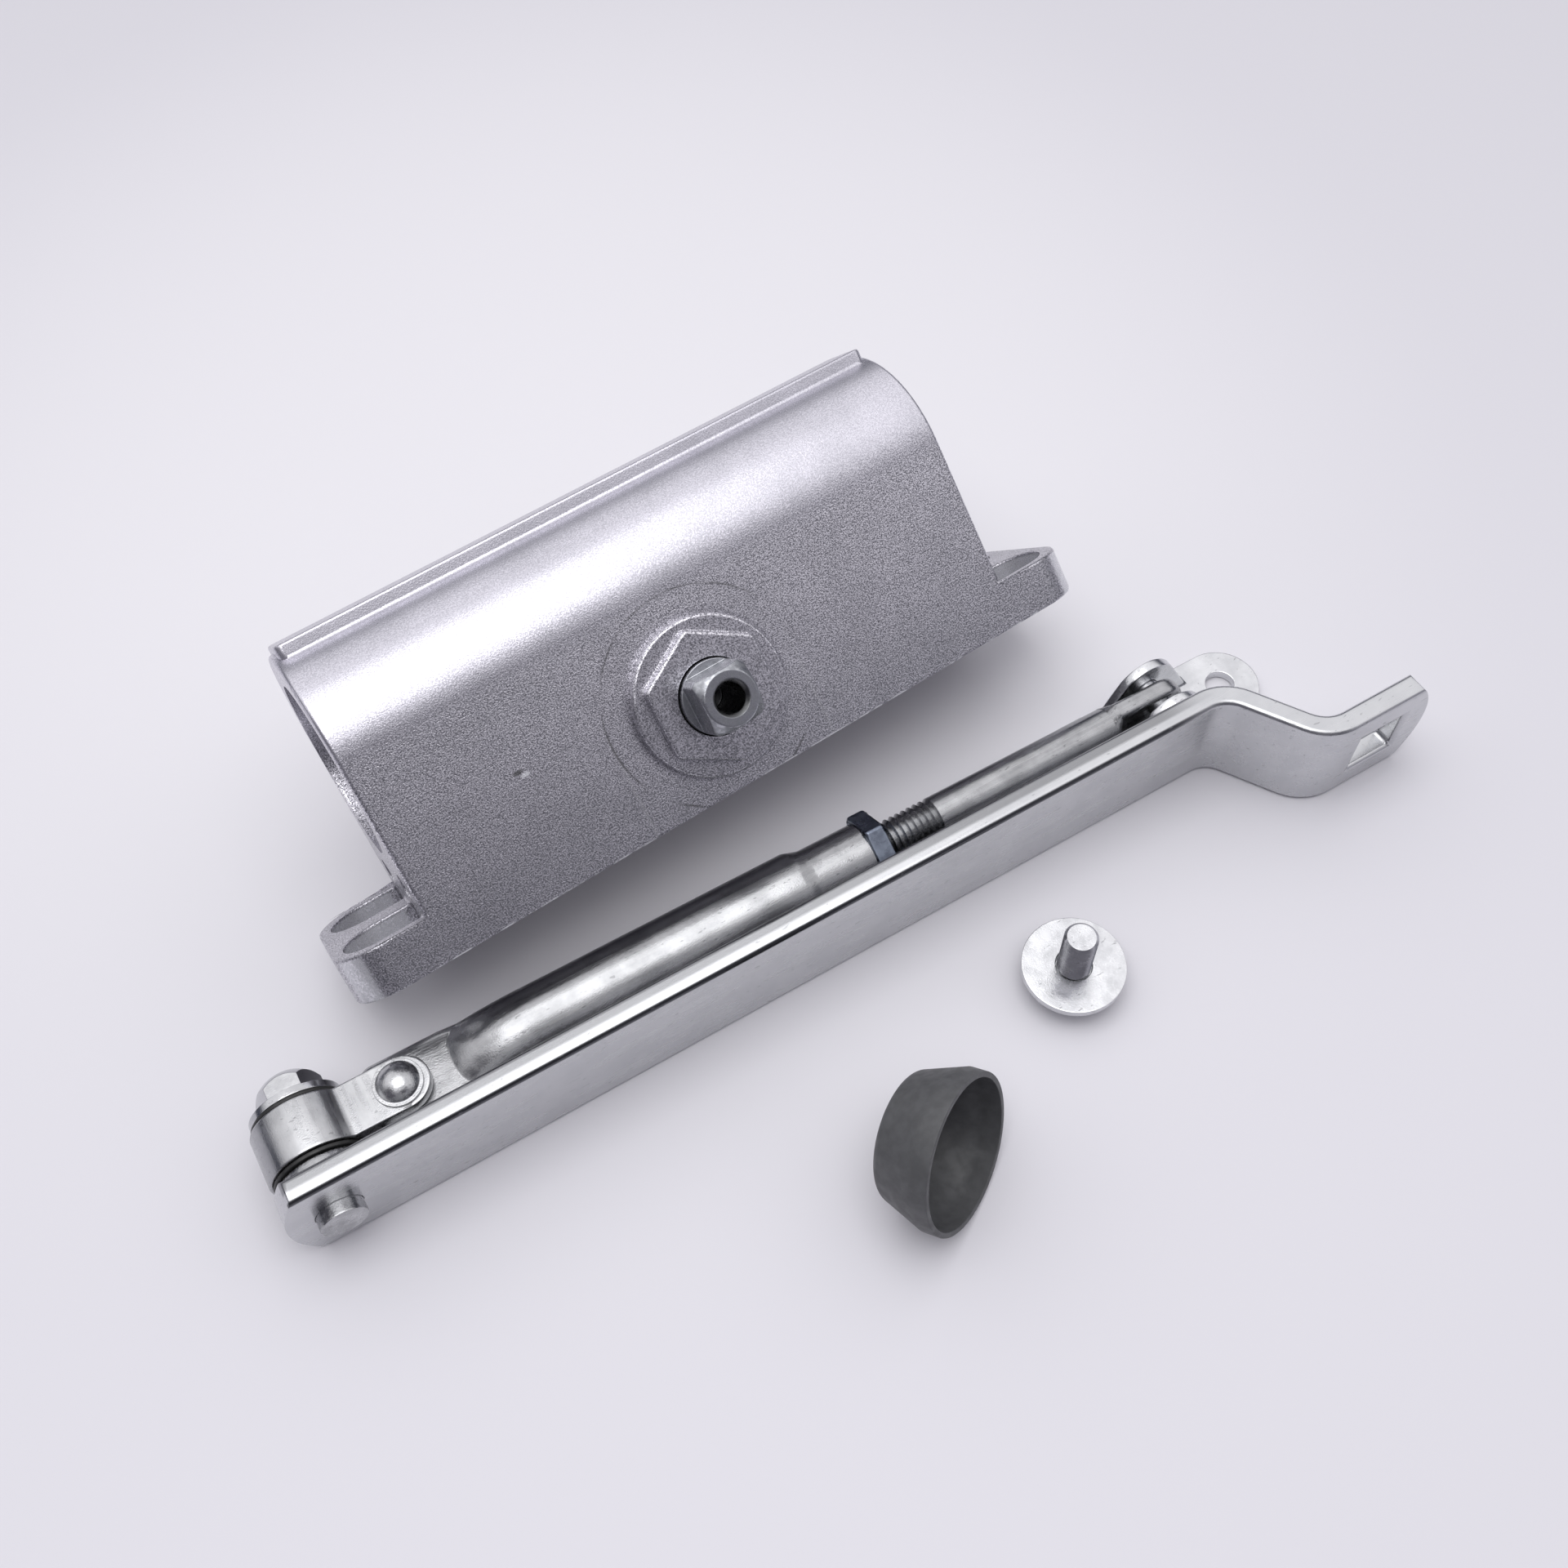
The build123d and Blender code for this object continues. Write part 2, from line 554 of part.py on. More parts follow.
# Return spring between the piston and the plug
spring_start = PISTON_RIGHT + SPRING_WIRE_R + SIDE_GAP
spring_end = PLUG_INNER_X - SPRING_WIRE_R - SIDE_GAP
spring_rise = spring_end - spring_start
with BuildPart() as return_spring:
    with BuildLine() as coil:
        Helix(
            spring_rise / SPRING_TURNS,
            spring_rise,
            SPRING_R,
            center=(spring_start, BORE_SETBACK, 0),
            direction=(1, 0, 0),
        )
    with BuildSketch(Plane(coil.line @ 0, z_dir=coil.line % 0)):
        Circle(SPRING_WIRE_R)
    sweep()
return_spring.part.label = "return_spring"
export_step(return_spring.part.moved(CLOSER_LAID), "parts/return_spring.step")

# End plugs with a hexagon socket, and their seal rings
seal_centre_r = BORE_R - SEATED_GAP - SEAL_WIRE_R
for name, side in (("valve", -1), ("spring", 1)):
    seal_x = side * (PLUG_INNER_X + PLUG_FACE_X) / 2
    with BuildPart() as end_plug:
        with BuildSketch(Plane.YZ.offset(side * PLUG_INNER_X)):
            with Locations((BORE_SETBACK, 0)):
                Circle(BORE_R - SEATED_GAP)
        extrude(amount=side * PLUG_LENGTH)
        with BuildSketch(Plane.YZ.offset(side * PLUG_FACE_X)):
            with Locations((BORE_SETBACK, 0)):
                RegularPolygon(PLUG_SOCKET_AF / 2, 6, major_radius=False)
        extrude(amount=-side * PLUG_SOCKET_DEPTH, mode=Mode.SUBTRACT)
        with BuildSketch(Plane.XY):
            with Locations((seal_x, BORE_SETBACK + seal_centre_r)):
                Circle(SEAL_WIRE_R + SEATED_GAP)
        revolve(axis=Axis((0, BORE_SETBACK, 0), (1, 0, 0)), mode=Mode.SUBTRACT)
    end_plug.part.label = f"{name}_end_plug"
    export_step(end_plug.part.moved(CLOSER_LAID), f"parts/{name}_end_plug.step")

    with BuildPart() as plug_seal:
        with BuildSketch(Plane.XY):
            with Locations((seal_x, BORE_SETBACK + seal_centre_r)):
                Circle(SEAL_WIRE_R)
        revolve(axis=Axis((0, BORE_SETBACK, 0), (1, 0, 0)))
    plug_seal.part.label = f"{name}_plug_seal"
    export_step(plug_seal.part.moved(CLOSER_LAID), f"parts/{name}_plug_seal.step")

# Regulating valves: slotted needle screws at the valve end, each with its seal ring
valve_head_x = -END_X + VALVE_INSET
needle_x = valve_head_x + VALVE_LENGTH - VALVE_NEEDLE_LENGTH
valve_seal_x = valve_head_x + VALVE_LENGTH / 2
valve_seal_r = VALVE_R + RUNNING_GAP - SEATED_GAP - VALVE_SEAL_WIRE_R
for name, side in (("sweep", 1), ("latch", -1)):
    valve_plane = Plane((0, 0, side * VALVE_SPACING / 2))
    valve_axis = Axis((0, VALVE_SETBACK, side * VALVE_SPACING / 2), (1, 0, 0))
    with BuildPart() as valve:
        with BuildSketch(valve_plane):
            with BuildLine():
                Polyline(
                    (valve_head_x, VALVE_SETBACK),
                    (valve_head_x, VALVE_SETBACK + VALVE_R),
                    (needle_x, VALVE_SETBACK + VALVE_R),
                    (needle_x, VALVE_SETBACK + OIL_PASSAGE_R),
                    (needle_x + VALVE_NEEDLE_LENGTH, VALVE_SETBACK),
                    close=True,
                )
            make_face()
        revolve(axis=valve_axis)
        with BuildSketch(valve_plane):
            with Locations((valve_seal_x, VALVE_SETBACK + valve_seal_r)):
                Circle(VALVE_SEAL_WIRE_R + SEATED_GAP)
        revolve(axis=valve_axis, mode=Mode.SUBTRACT)
        with BuildSketch(Plane.YZ.offset(valve_head_x)):
            with Locations((VALVE_SETBACK, side * VALVE_SPACING / 2)):
                Rectangle(2 * VALVE_R, VALVE_SLOT_WIDTH)
        extrude(amount=VALVE_SLOT_DEPTH, mode=Mode.SUBTRACT)
    valve.part.label = f"{name}_valve"
    export_step(valve.part.moved(CLOSER_LAID), f"parts/{name}_valve.step")

    with BuildPart() as valve_seal:
        with BuildSketch(valve_plane):
            with Locations((valve_seal_x, VALVE_SETBACK + valve_seal_r)):
                Circle(VALVE_SEAL_WIRE_R)
        revolve(axis=valve_axis)
    valve_seal.part.label = f"{name}_valve_seal"
    export_step(valve_seal.part.moved(CLOSER_LAID), f"parts/{name}_valve_seal.step")

# Stations across the elbow: collar, flanged bush, strap, flanged bush and nut, from the bar's back face
STRAP_SIDE_Y = STRAP_WIDTH / 2
NUT_SEAT_Y = STRAP_SIDE_Y + BUSH_FLANGE + 2 * SIDE_GAP
BAR_BACK_Y = -NUT_SEAT_Y - COLLAR_THICKNESS
BAR_FRONT_Y = BAR_BACK_Y - BAR_THICKNESS
NUT_TOP_Y = NUT_SEAT_Y + NUT_FLANGE + NUT_HEX + NUT_DOME
PIN_END_Y = NUT_SEAT_Y + NUT_FLANGE + NUT_HEX

# Main arm: a flat bar on edge, cranked away from the closer near its square hole
bar_middle_y = (BAR_BACK_Y + BAR_FRONT_Y) / 2
crank_y = bar_middle_y - BAR_CRANK_OFFSET
crank_end_x = BAR_STRAIGHT + BAR_CRANK_LENGTH
with BuildPart() as main_arm:
    with BuildSketch(Plane.XY.offset(-BAR_WIDTH / 2)):
        with BuildLine() as bar_path:
            FilletPolyline(
                (-BAR_END, bar_middle_y),
                (BAR_STRAIGHT, bar_middle_y),
                (crank_end_x, crank_y),
                (BAR_TIP, crank_y),
                radius=BAR_BEND_R,
            )
        trace(bar_path.line, BAR_THICKNESS)
    extrude(amount=BAR_WIDTH)
    with BuildSketch(Plane.XZ):
        with BuildLine():
            elbow_edge_x = BAR_END_SAGITTA - BAR_END
            tip_edge_x = BAR_TIP - BAR_END_SAGITTA
            Line((elbow_edge_x, BAR_WIDTH / 2), (tip_edge_x, BAR_WIDTH / 2))
            SagittaArc((tip_edge_x, BAR_WIDTH / 2), (tip_edge_x, -BAR_WIDTH / 2), BAR_END_SAGITTA)
            Line((tip_edge_x, -BAR_WIDTH / 2), (elbow_edge_x, -BAR_WIDTH / 2))
            SagittaArc((elbow_edge_x, -BAR_WIDTH / 2), (elbow_edge_x, BAR_WIDTH / 2), BAR_END_SAGITTA)
        make_face()
    extrude(amount=BAR_TIP, both=True, mode=Mode.INTERSECT)
    long_edges = main_arm.faces().filter_by(Axis.Z).edges().filter_by(
        lambda edge: abs(edge.tangent_at(0.5).Z) < SEATED_GAP
    )
    fillet(long_edges, BAR_EDGE_R)
    with BuildSketch(Plane.XZ):
        Circle(PIN_R + SEATED_GAP)
    extrude(amount=-BAR_FRONT_Y + BAR_EDGE_R, mode=Mode.SUBTRACT)
    with BuildSketch(Plane.XZ.offset(-crank_y)):
        with Locations((BAR_SOCKET_X, 0)):
            Rectangle(SQUARE_AF + 2 * SIDE_GAP, SQUARE_AF + 2 * SIDE_GAP)
    extrude(amount=BAR_THICKNESS, both=True, mode=Mode.SUBTRACT)
main_arm.part.label = "main_arm"
export_step(main_arm.part.moved(ARM_LAID), "parts/main_arm.step")

# Elbow pin: riveted stub in front of the bar, domed collar behind it, and the journal for the strap
with BuildPart() as elbow_pin:
    with BuildSketch(Plane.XY):
        with BuildLine():
            Polyline(
                (0, BAR_FRONT_Y - PIN_STUB),
                (PIN_R, BAR_FRONT_Y - PIN_STUB),
                (PIN_R, BAR_BACK_Y),
                (COLLAR_R, BAR_BACK_Y),
                (COLLAR_TOP_R, BAR_BACK_Y + COLLAR_THICKNESS),
                (PIN_R, BAR_BACK_Y + COLLAR_THICKNESS),
                (PIN_R, PIN_END_Y),
                (0, PIN_END_Y),
                close=True,
            )
        make_face()
    revolve(axis=Axis.Y)
elbow_pin.part.label = "elbow_pin"
export_step(elbow_pin.part.moved(ARM_LAID), "parts/elbow_pin.step")

# Elbow nut: a hexagon under a ball-shaped crown, so each flat ends in an arc, on a round flange
nut_base_y = NUT_SEAT_Y + NUT_FLANGE
elbow_nut_corner_r = NUT_AF / 2 / math.cos(math.pi / 6)
crown_r = (elbow_nut_corner_r**2 + NUT_DOME**2) / (2 * NUT_DOME)
with BuildPart() as elbow_nut:
    with BuildSketch(Plane.XZ.offset(-nut_base_y)):
        RegularPolygon(NUT_AF / 2, 6, major_radius=False)
    extrude(amount=nut_base_y - NUT_TOP_Y)
    with BuildSketch(Plane.XY):
        with BuildLine():
            Polyline(
                (0, NUT_TOP_Y),
                (0, nut_base_y),
                (elbow_nut_corner_r, nut_base_y),
                (elbow_nut_corner_r, PIN_END_Y),
            )
            RadiusArc((elbow_nut_corner_r, PIN_END_Y), (0, NUT_TOP_Y), -crown_r)
        make_face()
    revolve(axis=Axis.Y, mode=Mode.INTERSECT)
    with BuildSketch(Plane.XZ.offset(-NUT_SEAT_Y)):
        Circle(NUT_FLANGE_R)
    extrude(amount=-NUT_FLANGE)
    with BuildSketch(Plane.XZ.offset(-NUT_SEAT_Y)):
        Circle(PIN_R + SEATED_GAP)
    extrude(amount=NUT_SEAT_Y - PIN_END_Y - SIDE_GAP, mode=Mode.SUBTRACT)
elbow_nut.part.label = "elbow_nut"
export_step(elbow_nut.part.moved(ARM_LAID), "parts/elbow_nut.step")

# Elbow bushes: two flanged sleeves that meet inside the strap
bush_outer_r = STRAP_R - STRAP_THICKNESS - SEATED_GAP
with BuildPart() as elbow_bushes:
    for side in (-1, 1):
        with BuildSketch(Plane.XZ.offset(-side * SIDE_GAP)):
            Circle(bush_outer_r)
            Circle(PIN_R + RUNNING_GAP, mode=Mode.SUBTRACT)
        extrude(amount=-side * (STRAP_SIDE_Y + BUSH_FLANGE))
        with BuildSketch(Plane.XZ.offset(-side * (STRAP_SIDE_Y + SIDE_GAP))):
            Circle(BUSH_FLANGE_R)
            Circle(PIN_R + RUNNING_GAP, mode=Mode.SUBTRACT)
        extrude(amount=-side * BUSH_FLANGE)
elbow_bushes.part.label = "elbow_bushes"
export_step(elbow_bushes.part.moved(FOREARM_LAID), "parts/elbow_bushes.step")

# Elbow strap: one strip bent round the bushes, its two tails holding the flattened tube
tail_inner_z = STRAP_TAIL_Z - STRAP_THICKNESS
with BuildPart() as elbow_strap:
    with BuildSketch(Plane.XZ):
        Circle(STRAP_R)
        Rectangle(STRAP_REACH, 2 * STRAP_TAIL_Z, align=(Align.MIN, Align.CENTER))
        Circle(STRAP_R - STRAP_THICKNESS, mode=Mode.SUBTRACT)
        Rectangle(STRAP_REACH, 2 * tail_inner_z, align=(Align.MIN, Align.CENTER), mode=Mode.SUBTRACT)
    extrude(amount=STRAP_SIDE_Y, both=True)
    with BuildSketch(Plane.XY.offset(-STRAP_R)):
        with Locations((STRAP_REACH - STRAP_SIDE_Y, 0)):
            Circle(STRAP_SIDE_Y)
            Rectangle(STRAP_REACH + STRAP_R, STRAP_WIDTH, align=(Align.MAX, Align.CENTER))
    extrude(amount=2 * STRAP_R, mode=Mode.INTERSECT)
    with BuildSketch(Plane.XY.offset(-STRAP_R)):
        with Locations((RIVET_X, 0)):
            Circle(RIVET_R + SEATED_GAP)
    extrude(amount=2 * STRAP_R, mode=Mode.SUBTRACT)
elbow_strap.part.label = "elbow_strap"
export_step(elbow_strap.part.moved(FOREARM_LAID), "parts/elbow_strap.step")

with BuildPart() as strap_rivet:
    with BuildSketch(Plane.XZ):
        with BuildLine():
            head_top_z = STRAP_TAIL_Z + RIVET_HEAD
            Line((RIVET_X, -head_top_z), (RIVET_X, head_top_z))
            for hand in (-1, 1):
                head_foot_z = hand * (STRAP_TAIL_Z + RIVET_RING)
                SagittaArc(
                    (RIVET_X, hand * head_top_z),
                    (RIVET_X + RIVET_HEAD_R, head_foot_z),
                    hand * (RIVET_HEAD - RIVET_RING) * HEAD_CROWN_SHARE,
                )
                Polyline(
                    (RIVET_X + RIVET_HEAD_R, head_foot_z),
                    (RIVET_X + RIVET_RING_R, head_foot_z),
                    (RIVET_X + RIVET_RING_R, hand * STRAP_TAIL_Z),
                    (RIVET_X + RIVET_R, hand * STRAP_TAIL_Z),
                )
            Line((RIVET_X + RIVET_R, -STRAP_TAIL_Z), (RIVET_X + RIVET_R, STRAP_TAIL_Z))
        make_face()
    revolve(axis=Axis((RIVET_X, 0, 0), (0, 0, 1)))
strap_rivet.part.label = "strap_rivet"
export_step(strap_rivet.part.moved(FOREARM_LAID), "parts/strap_rivet.step")

# Forearm tube: flat between the strap's tails, rising in a nose to the round tube, swaged to a threaded neck
flat_half = tail_inner_z - SIDE_GAP
rod_bore_r = ROD_R + THREAD_GAP
with BuildPart() as forearm_tube:
    with BuildSketch(Plane.XY.offset(-flat_half)) as flat_plan:
        with BuildLine():
            Polyline(
                (FLAT_START, -FLAT_WIDTH / 2),
                (NOSE_START, -FLAT_WIDTH / 2),
                (FLAT_TAPER_END, -FLAT_TAPER_WIDTH / 2),
                (FLAT_TAPER_END, FLAT_TAPER_WIDTH / 2),
                (NOSE_START, FLAT_WIDTH / 2),
                (FLAT_START, FLAT_WIDTH / 2),
                close=True,
            )
        make_face()
        fillet(flat_plan.vertices().sort_by(Axis.X)[:2], FLAT_CORNER_R)
    extrude(amount=2 * flat_half)
    fillet(forearm_tube.faces().filter_by(Axis.Z).edges(), FLAT_EDGE_R)
    with BuildSketch(Plane.YZ.offset(NOSE_START)):
        Ellipse(TUBE_R, NOSE_START_HALF)
    with BuildSketch(Plane.YZ.offset(NOSE_RISE)):
        Ellipse(TUBE_R, NOSE_RISE_HALF)
    with BuildSketch(Plane.YZ.offset(ROUND_START)):
        Ellipse(TUBE_R, TUBE_R)
    loft()
    with BuildSketch(Plane.XY):
        with BuildLine():
            Polyline(
                (ROUND_START, 0),
                (ROUND_START, TUBE_R),
                (SWAGE_START, TUBE_R),
                (NECK_START, NECK_R),
                (NECK_END, NECK_R),
                (NECK_END, 0),
                close=True,
            )
        make_face()
    revolve(axis=Axis.X)
    with BuildSketch(Plane.XY):
        with BuildLine():
            Polyline(
                (ROUND_START, 0),
                (ROUND_START, TUBE_R - TUBE_WALL),
                (SWAGE_START, TUBE_R - TUBE_WALL),
                (NECK_START, rod_bore_r),
                (NECK_END, rod_bore_r),
                (NECK_END, 0),
                close=True,
            )
        make_face()
    revolve(axis=Axis.X, mode=Mode.SUBTRACT)
    with BuildSketch(Plane.XY.offset(-TUBE_R)):
        with Locations((RIVET_X, 0)):
            Circle(RIVET_R + RUNNING_GAP)
    extrude(amount=2 * TUBE_R, mode=Mode.SUBTRACT)
forearm_tube.part.label = "forearm_tube"
export_step(forearm_tube.part.moved(FOREARM_LAID), "parts/forearm_tube.step")

lock_nut_x = NECK_END + SEATED_GAP
with BuildPart() as lock_nut:
    with BuildSketch(Plane.YZ.offset(lock_nut_x)):
        RegularPolygon(LOCK_NUT_AF / 2, 6, major_radius=False, rotation=30)
    extrude(amount=LOCK_NUT_THICKNESS)
    with BuildSketch(Plane.XY):
        with BuildLine():
            nut_corner_r = LOCK_NUT_AF / 2 / math.cos(math.pi / 6)
            Polyline(
                (lock_nut_x, rod_bore_r),
                (lock_nut_x, nut_corner_r - LOCK_NUT_CHAMFER),
                (lock_nut_x + LOCK_NUT_CHAMFER / 2, nut_corner_r),
                (lock_nut_x + LOCK_NUT_THICKNESS - LOCK_NUT_CHAMFER / 2, nut_corner_r),
                (lock_nut_x + LOCK_NUT_THICKNESS, nut_corner_r - LOCK_NUT_CHAMFER),
                (lock_nut_x + LOCK_NUT_THICKNESS, rod_bore_r),
                close=True,
            )
        make_face()
    revolve(axis=Axis.X, mode=Mode.INTERSECT)
lock_nut.part.label = "lock_nut"
export_step(lock_nut.part.moved(FOREARM_LAID), "parts/lock_nut.step")

# Adjusting rod: threaded into the tube's neck, plain in the middle, forged flat at the bracket
rod_start = NECK_END - ROD_INSIDE
thread_length = ROD_INSIDE + LOCK_NUT_THICKNESS + ROD_THREAD_SHOWN
plain_end = TONGUE_START - TONGUE_BLEND
with BuildPart() as tongue:
    with BuildSketch(Plane.XZ):
        with Locations((TONGUE_START, 0)):
            Rectangle(FOREARM_REACH - TONGUE_START, 2 * TONGUE_R, align=(Align.MIN, Align.CENTER))
        with Locations((FOREARM_REACH, 0)):
            Circle(TONGUE_R)
    extrude(amount=TONGUE_THICKNESS / 2, both=True)
    rim = tongue.faces().filter_by(Axis.Y).edges().filter_by(
        lambda edge: edge.center().X > TONGUE_START + SEATED_GAP
    )
    fillet(rim, TONGUE_EDGE_R)
with BuildPart() as adjusting_rod:
    with BuildSketch(Plane.XY):
        with BuildLine():
            crests = ring_thread(rod_start, thread_length, ROD_R, ROD_THREAD_PITCH, ROD_THREAD_DEPTH)
            Polyline((rod_start, 0), *crests, (plain_end, ROD_R), (plain_end, 0), close=True)
        make_face()
    revolve(axis=Axis.X)
    with BuildSketch(Plane.YZ.offset(plain_end)):
        RectangleRounded(2 * ROD_R, 2 * ROD_R, ROD_R * CORNER_SHARE)
    with BuildSketch(Plane.YZ.offset(TONGUE_START)):
        RectangleRounded(TONGUE_THICKNESS, 2 * TONGUE_R, TONGUE_EDGE_R)
    loft()
    add(tongue.part)
    with BuildSketch(Plane.XZ):
        with Locations((FOREARM_REACH, 0)):
            Circle(BRACKET_PIN_R + RUNNING_GAP)
    extrude(amount=TONGUE_THICKNESS, both=True, mode=Mode.SUBTRACT)
adjusting_rod.part.label = "adjusting_rod"
export_step(adjusting_rod.part.moved(FOREARM_LAID), "parts/adjusting_rod.step")

# Frame bracket: a flat sheet with two round ends, and two ears folded up for the pin
ear_inner_y = BRACKET_GAP / 2
ear_outer_y = ear_inner_y + BRACKET_SHEET
notch_width = BRACKET_LOBE_R - ear_outer_y
with BuildPart() as frame_bracket:
    with BuildSketch():
        SlotCenterToCenter(BRACKET_SPACING, 2 * BRACKET_LOBE_R)
        with GridLocations(BRACKET_SPACING, 0, 2, 1):
            Circle(BRACKET_HOLE_R, mode=Mode.SUBTRACT)
        for hand in (-1, 1):
            with Locations((BRACKET_PIN_X, hand * (ear_outer_y + notch_width / 2))):
                Rectangle(EAR_LENGTH, notch_width, mode=Mode.SUBTRACT)
    extrude(amount=BRACKET_SHEET)
    for hand in (-1, 1):
        with BuildSketch(Plane.XZ.offset(-hand * ear_inner_y)):
            with BuildSketch(mode=Mode.PRIVATE) as ear_shape:
                with Locations((BRACKET_PIN_X, BRACKET_PIN_HEIGHT)):
                    Circle(EAR_R)
                with Locations((BRACKET_PIN_X, 0)):
                    Rectangle(EAR_LENGTH, BRACKET_SHEET, align=(Align.CENTER, Align.MIN))
            make_hull(ear_shape.sketch.edges())
            with Locations((BRACKET_PIN_X, BRACKET_PIN_HEIGHT)):
                Circle(BRACKET_PIN_R + SEATED_GAP, mode=Mode.SUBTRACT)
        extrude(amount=-hand * BRACKET_SHEET)
frame_bracket.part.label = "frame_bracket"
export_step(frame_bracket.part, "parts/frame_bracket.step")

with BuildPart() as bracket_pin:
    with BuildSketch(Plane.XY.offset(BRACKET_PIN_HEIGHT)):
        with BuildLine():
            head_y = ear_outer_y + BRACKET_HEAD
            Line((BRACKET_PIN_X, -head_y), (BRACKET_PIN_X, head_y))
            for hand in (-1, 1):
                SagittaArc(
                    (BRACKET_PIN_X, hand * head_y),
                    (BRACKET_PIN_X + BRACKET_HEAD_R, hand * ear_outer_y),
                    hand * BRACKET_HEAD * HEAD_CROWN_SHARE,
                )
                Line(
                    (BRACKET_PIN_X + BRACKET_HEAD_R, hand * ear_outer_y),
                    (BRACKET_PIN_X + BRACKET_PIN_R, hand * ear_outer_y),
                )
            Line((BRACKET_PIN_X + BRACKET_PIN_R, -ear_outer_y), (BRACKET_PIN_X + BRACKET_PIN_R, ear_outer_y))
        make_face()
    revolve(axis=Axis((BRACKET_PIN_X, 0, BRACKET_PIN_HEIGHT), (0, 1, 0)))
bracket_pin.part.label = "bracket_pin"
export_step(bracket_pin.part, "parts/bracket_pin.step")

# Arm screw, standing on its head with its washer on it
with BuildPart() as arm_screw:
    with BuildSketch():
        RegularPolygon(SCREW_HEAD_AF / 2, 6, major_radius=False)
    extrude(amount=SCREW_HEAD)
    with BuildSketch(Plane.XZ):
        with BuildLine():
            thread_start = SCREW_HEAD + WASHER_THICKNESS
            rings = ring_thread(thread_start, SCREW_THREAD_LENGTH, SCREW_R, SCREW_PITCH, SCREW_THREAD_DEPTH)
            screw_side = [(radius, height) for height, radius in rings]
            screw_tip = screw_side[-1][1]
            Polyline(
                (0, SCREW_HEAD),
                (SCREW_R, SCREW_HEAD),
                *screw_side,
                (SCREW_R - SCREW_THREAD_DEPTH, screw_tip + SCREW_THREAD_DEPTH),
                (0, screw_tip + SCREW_THREAD_DEPTH),
                close=True,
            )
        make_face()
    revolve(axis=Axis.Z)
arm_screw.part.label = "arm_screw"
export_step(arm_screw.part.moved(SCREW_LAID), "parts/arm_screw.step")

with BuildPart() as arm_washer:
    with BuildSketch(Plane.XY.offset(SCREW_HEAD)):
        Circle(WASHER_R)
        Circle(SCREW_R + 2 * SIDE_GAP, mode=Mode.SUBTRACT)
    extrude(amount=WASHER_THICKNESS)
arm_washer.part.label = "arm_washer"
export_step(arm_washer.part.moved(SCREW_LAID), "parts/arm_washer.step")

# Pinion cap: a tapering plastic cup that fits over the hexagon of a bearing cap, lying on its taper
cap_inner_r = CAP_HEX_AF / 2 / math.cos(math.pi / 6) + SIDE_GAP
cap_outer_r = cap_inner_r + CAP_WALL
cap_taper = math.atan((cap_outer_r - CAP_END_R) / (CAP_LENGTH - CAP_MOUTH))
CAP_STAND = Location((*CAP_PLACE, CAP_END_R * math.cos(cap_taper)), (0, 0, CAP_HEADING))
CAP_LAID = CAP_STAND * Location((0, 0, 0), (0, -math.degrees(cap_taper), 0))
with BuildPart() as pinion_cap:
    with BuildSketch(Plane.XY):
        with BuildLine():
            Polyline(
                (0, 0),
                (0, CAP_END_R),
                (CAP_LENGTH - CAP_MOUTH, cap_outer_r),
                (CAP_LENGTH, cap_outer_r),
                (CAP_LENGTH, cap_inner_r),
                (CAP_LENGTH - CAP_MOUTH, cap_inner_r),
                (CAP_WALL, CAP_END_R - CAP_WALL),
                (CAP_WALL, 0),
                close=True,
            )
        make_face()
    revolve(axis=Axis.X)
    closed_end = pinion_cap.faces().sort_by(Axis.X)[0]
    fillet(closed_end.edges(), CAP_END_EDGE_R)
pinion_cap.part.label = "pinion_cap"
export_step(pinion_cap.part.moved(CAP_LAID), "parts/pinion_cap.step")
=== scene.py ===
# %% [markdown]
# # Dressing a door closer
#
# The solids of this closer come from its construction model, at their real size and place. This lesson
# gives them their finishes: sandy silver paint on the cast body, bright zinc on the arm, turned steel
# on the pinion. Where a casting or a pressing has soft edges, the solid is copied, its edges are
# rounded, and the copy is shown in its place.

# %% Load the construction model
import json
import math

import bpy
from mathutils import Matrix, Vector


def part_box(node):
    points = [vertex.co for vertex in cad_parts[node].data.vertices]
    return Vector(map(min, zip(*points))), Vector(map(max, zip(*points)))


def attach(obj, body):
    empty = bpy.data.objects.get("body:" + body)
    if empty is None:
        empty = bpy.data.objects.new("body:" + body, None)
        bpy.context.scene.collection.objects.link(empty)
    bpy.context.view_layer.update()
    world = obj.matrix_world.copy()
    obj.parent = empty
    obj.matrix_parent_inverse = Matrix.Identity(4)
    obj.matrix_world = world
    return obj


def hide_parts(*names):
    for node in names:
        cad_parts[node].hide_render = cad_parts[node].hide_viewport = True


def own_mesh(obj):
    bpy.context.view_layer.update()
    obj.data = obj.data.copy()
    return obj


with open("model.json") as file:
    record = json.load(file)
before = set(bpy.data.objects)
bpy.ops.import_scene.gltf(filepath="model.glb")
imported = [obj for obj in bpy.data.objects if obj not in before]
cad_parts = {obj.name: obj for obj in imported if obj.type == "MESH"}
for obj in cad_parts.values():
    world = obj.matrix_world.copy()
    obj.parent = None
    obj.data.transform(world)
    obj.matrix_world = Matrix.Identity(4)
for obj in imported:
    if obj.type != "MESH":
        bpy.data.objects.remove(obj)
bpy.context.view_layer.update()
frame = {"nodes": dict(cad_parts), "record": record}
nodes = frame["nodes"]
record = frame["record"]
behaviour = record["behaviour"]
body_of = {node: body for body, members in behaviour["bodies"].items() for node in members}
slot_of = {part["node"]: part["material_slot"] for part in record["subparts"]}
mounts = {mount["name"]: mount for mount in record["mounts"]}
joints = {joint["name"]: joint for joint in behaviour["joints"]}
MM = 0.001
print("nodes loaded:", len(nodes))

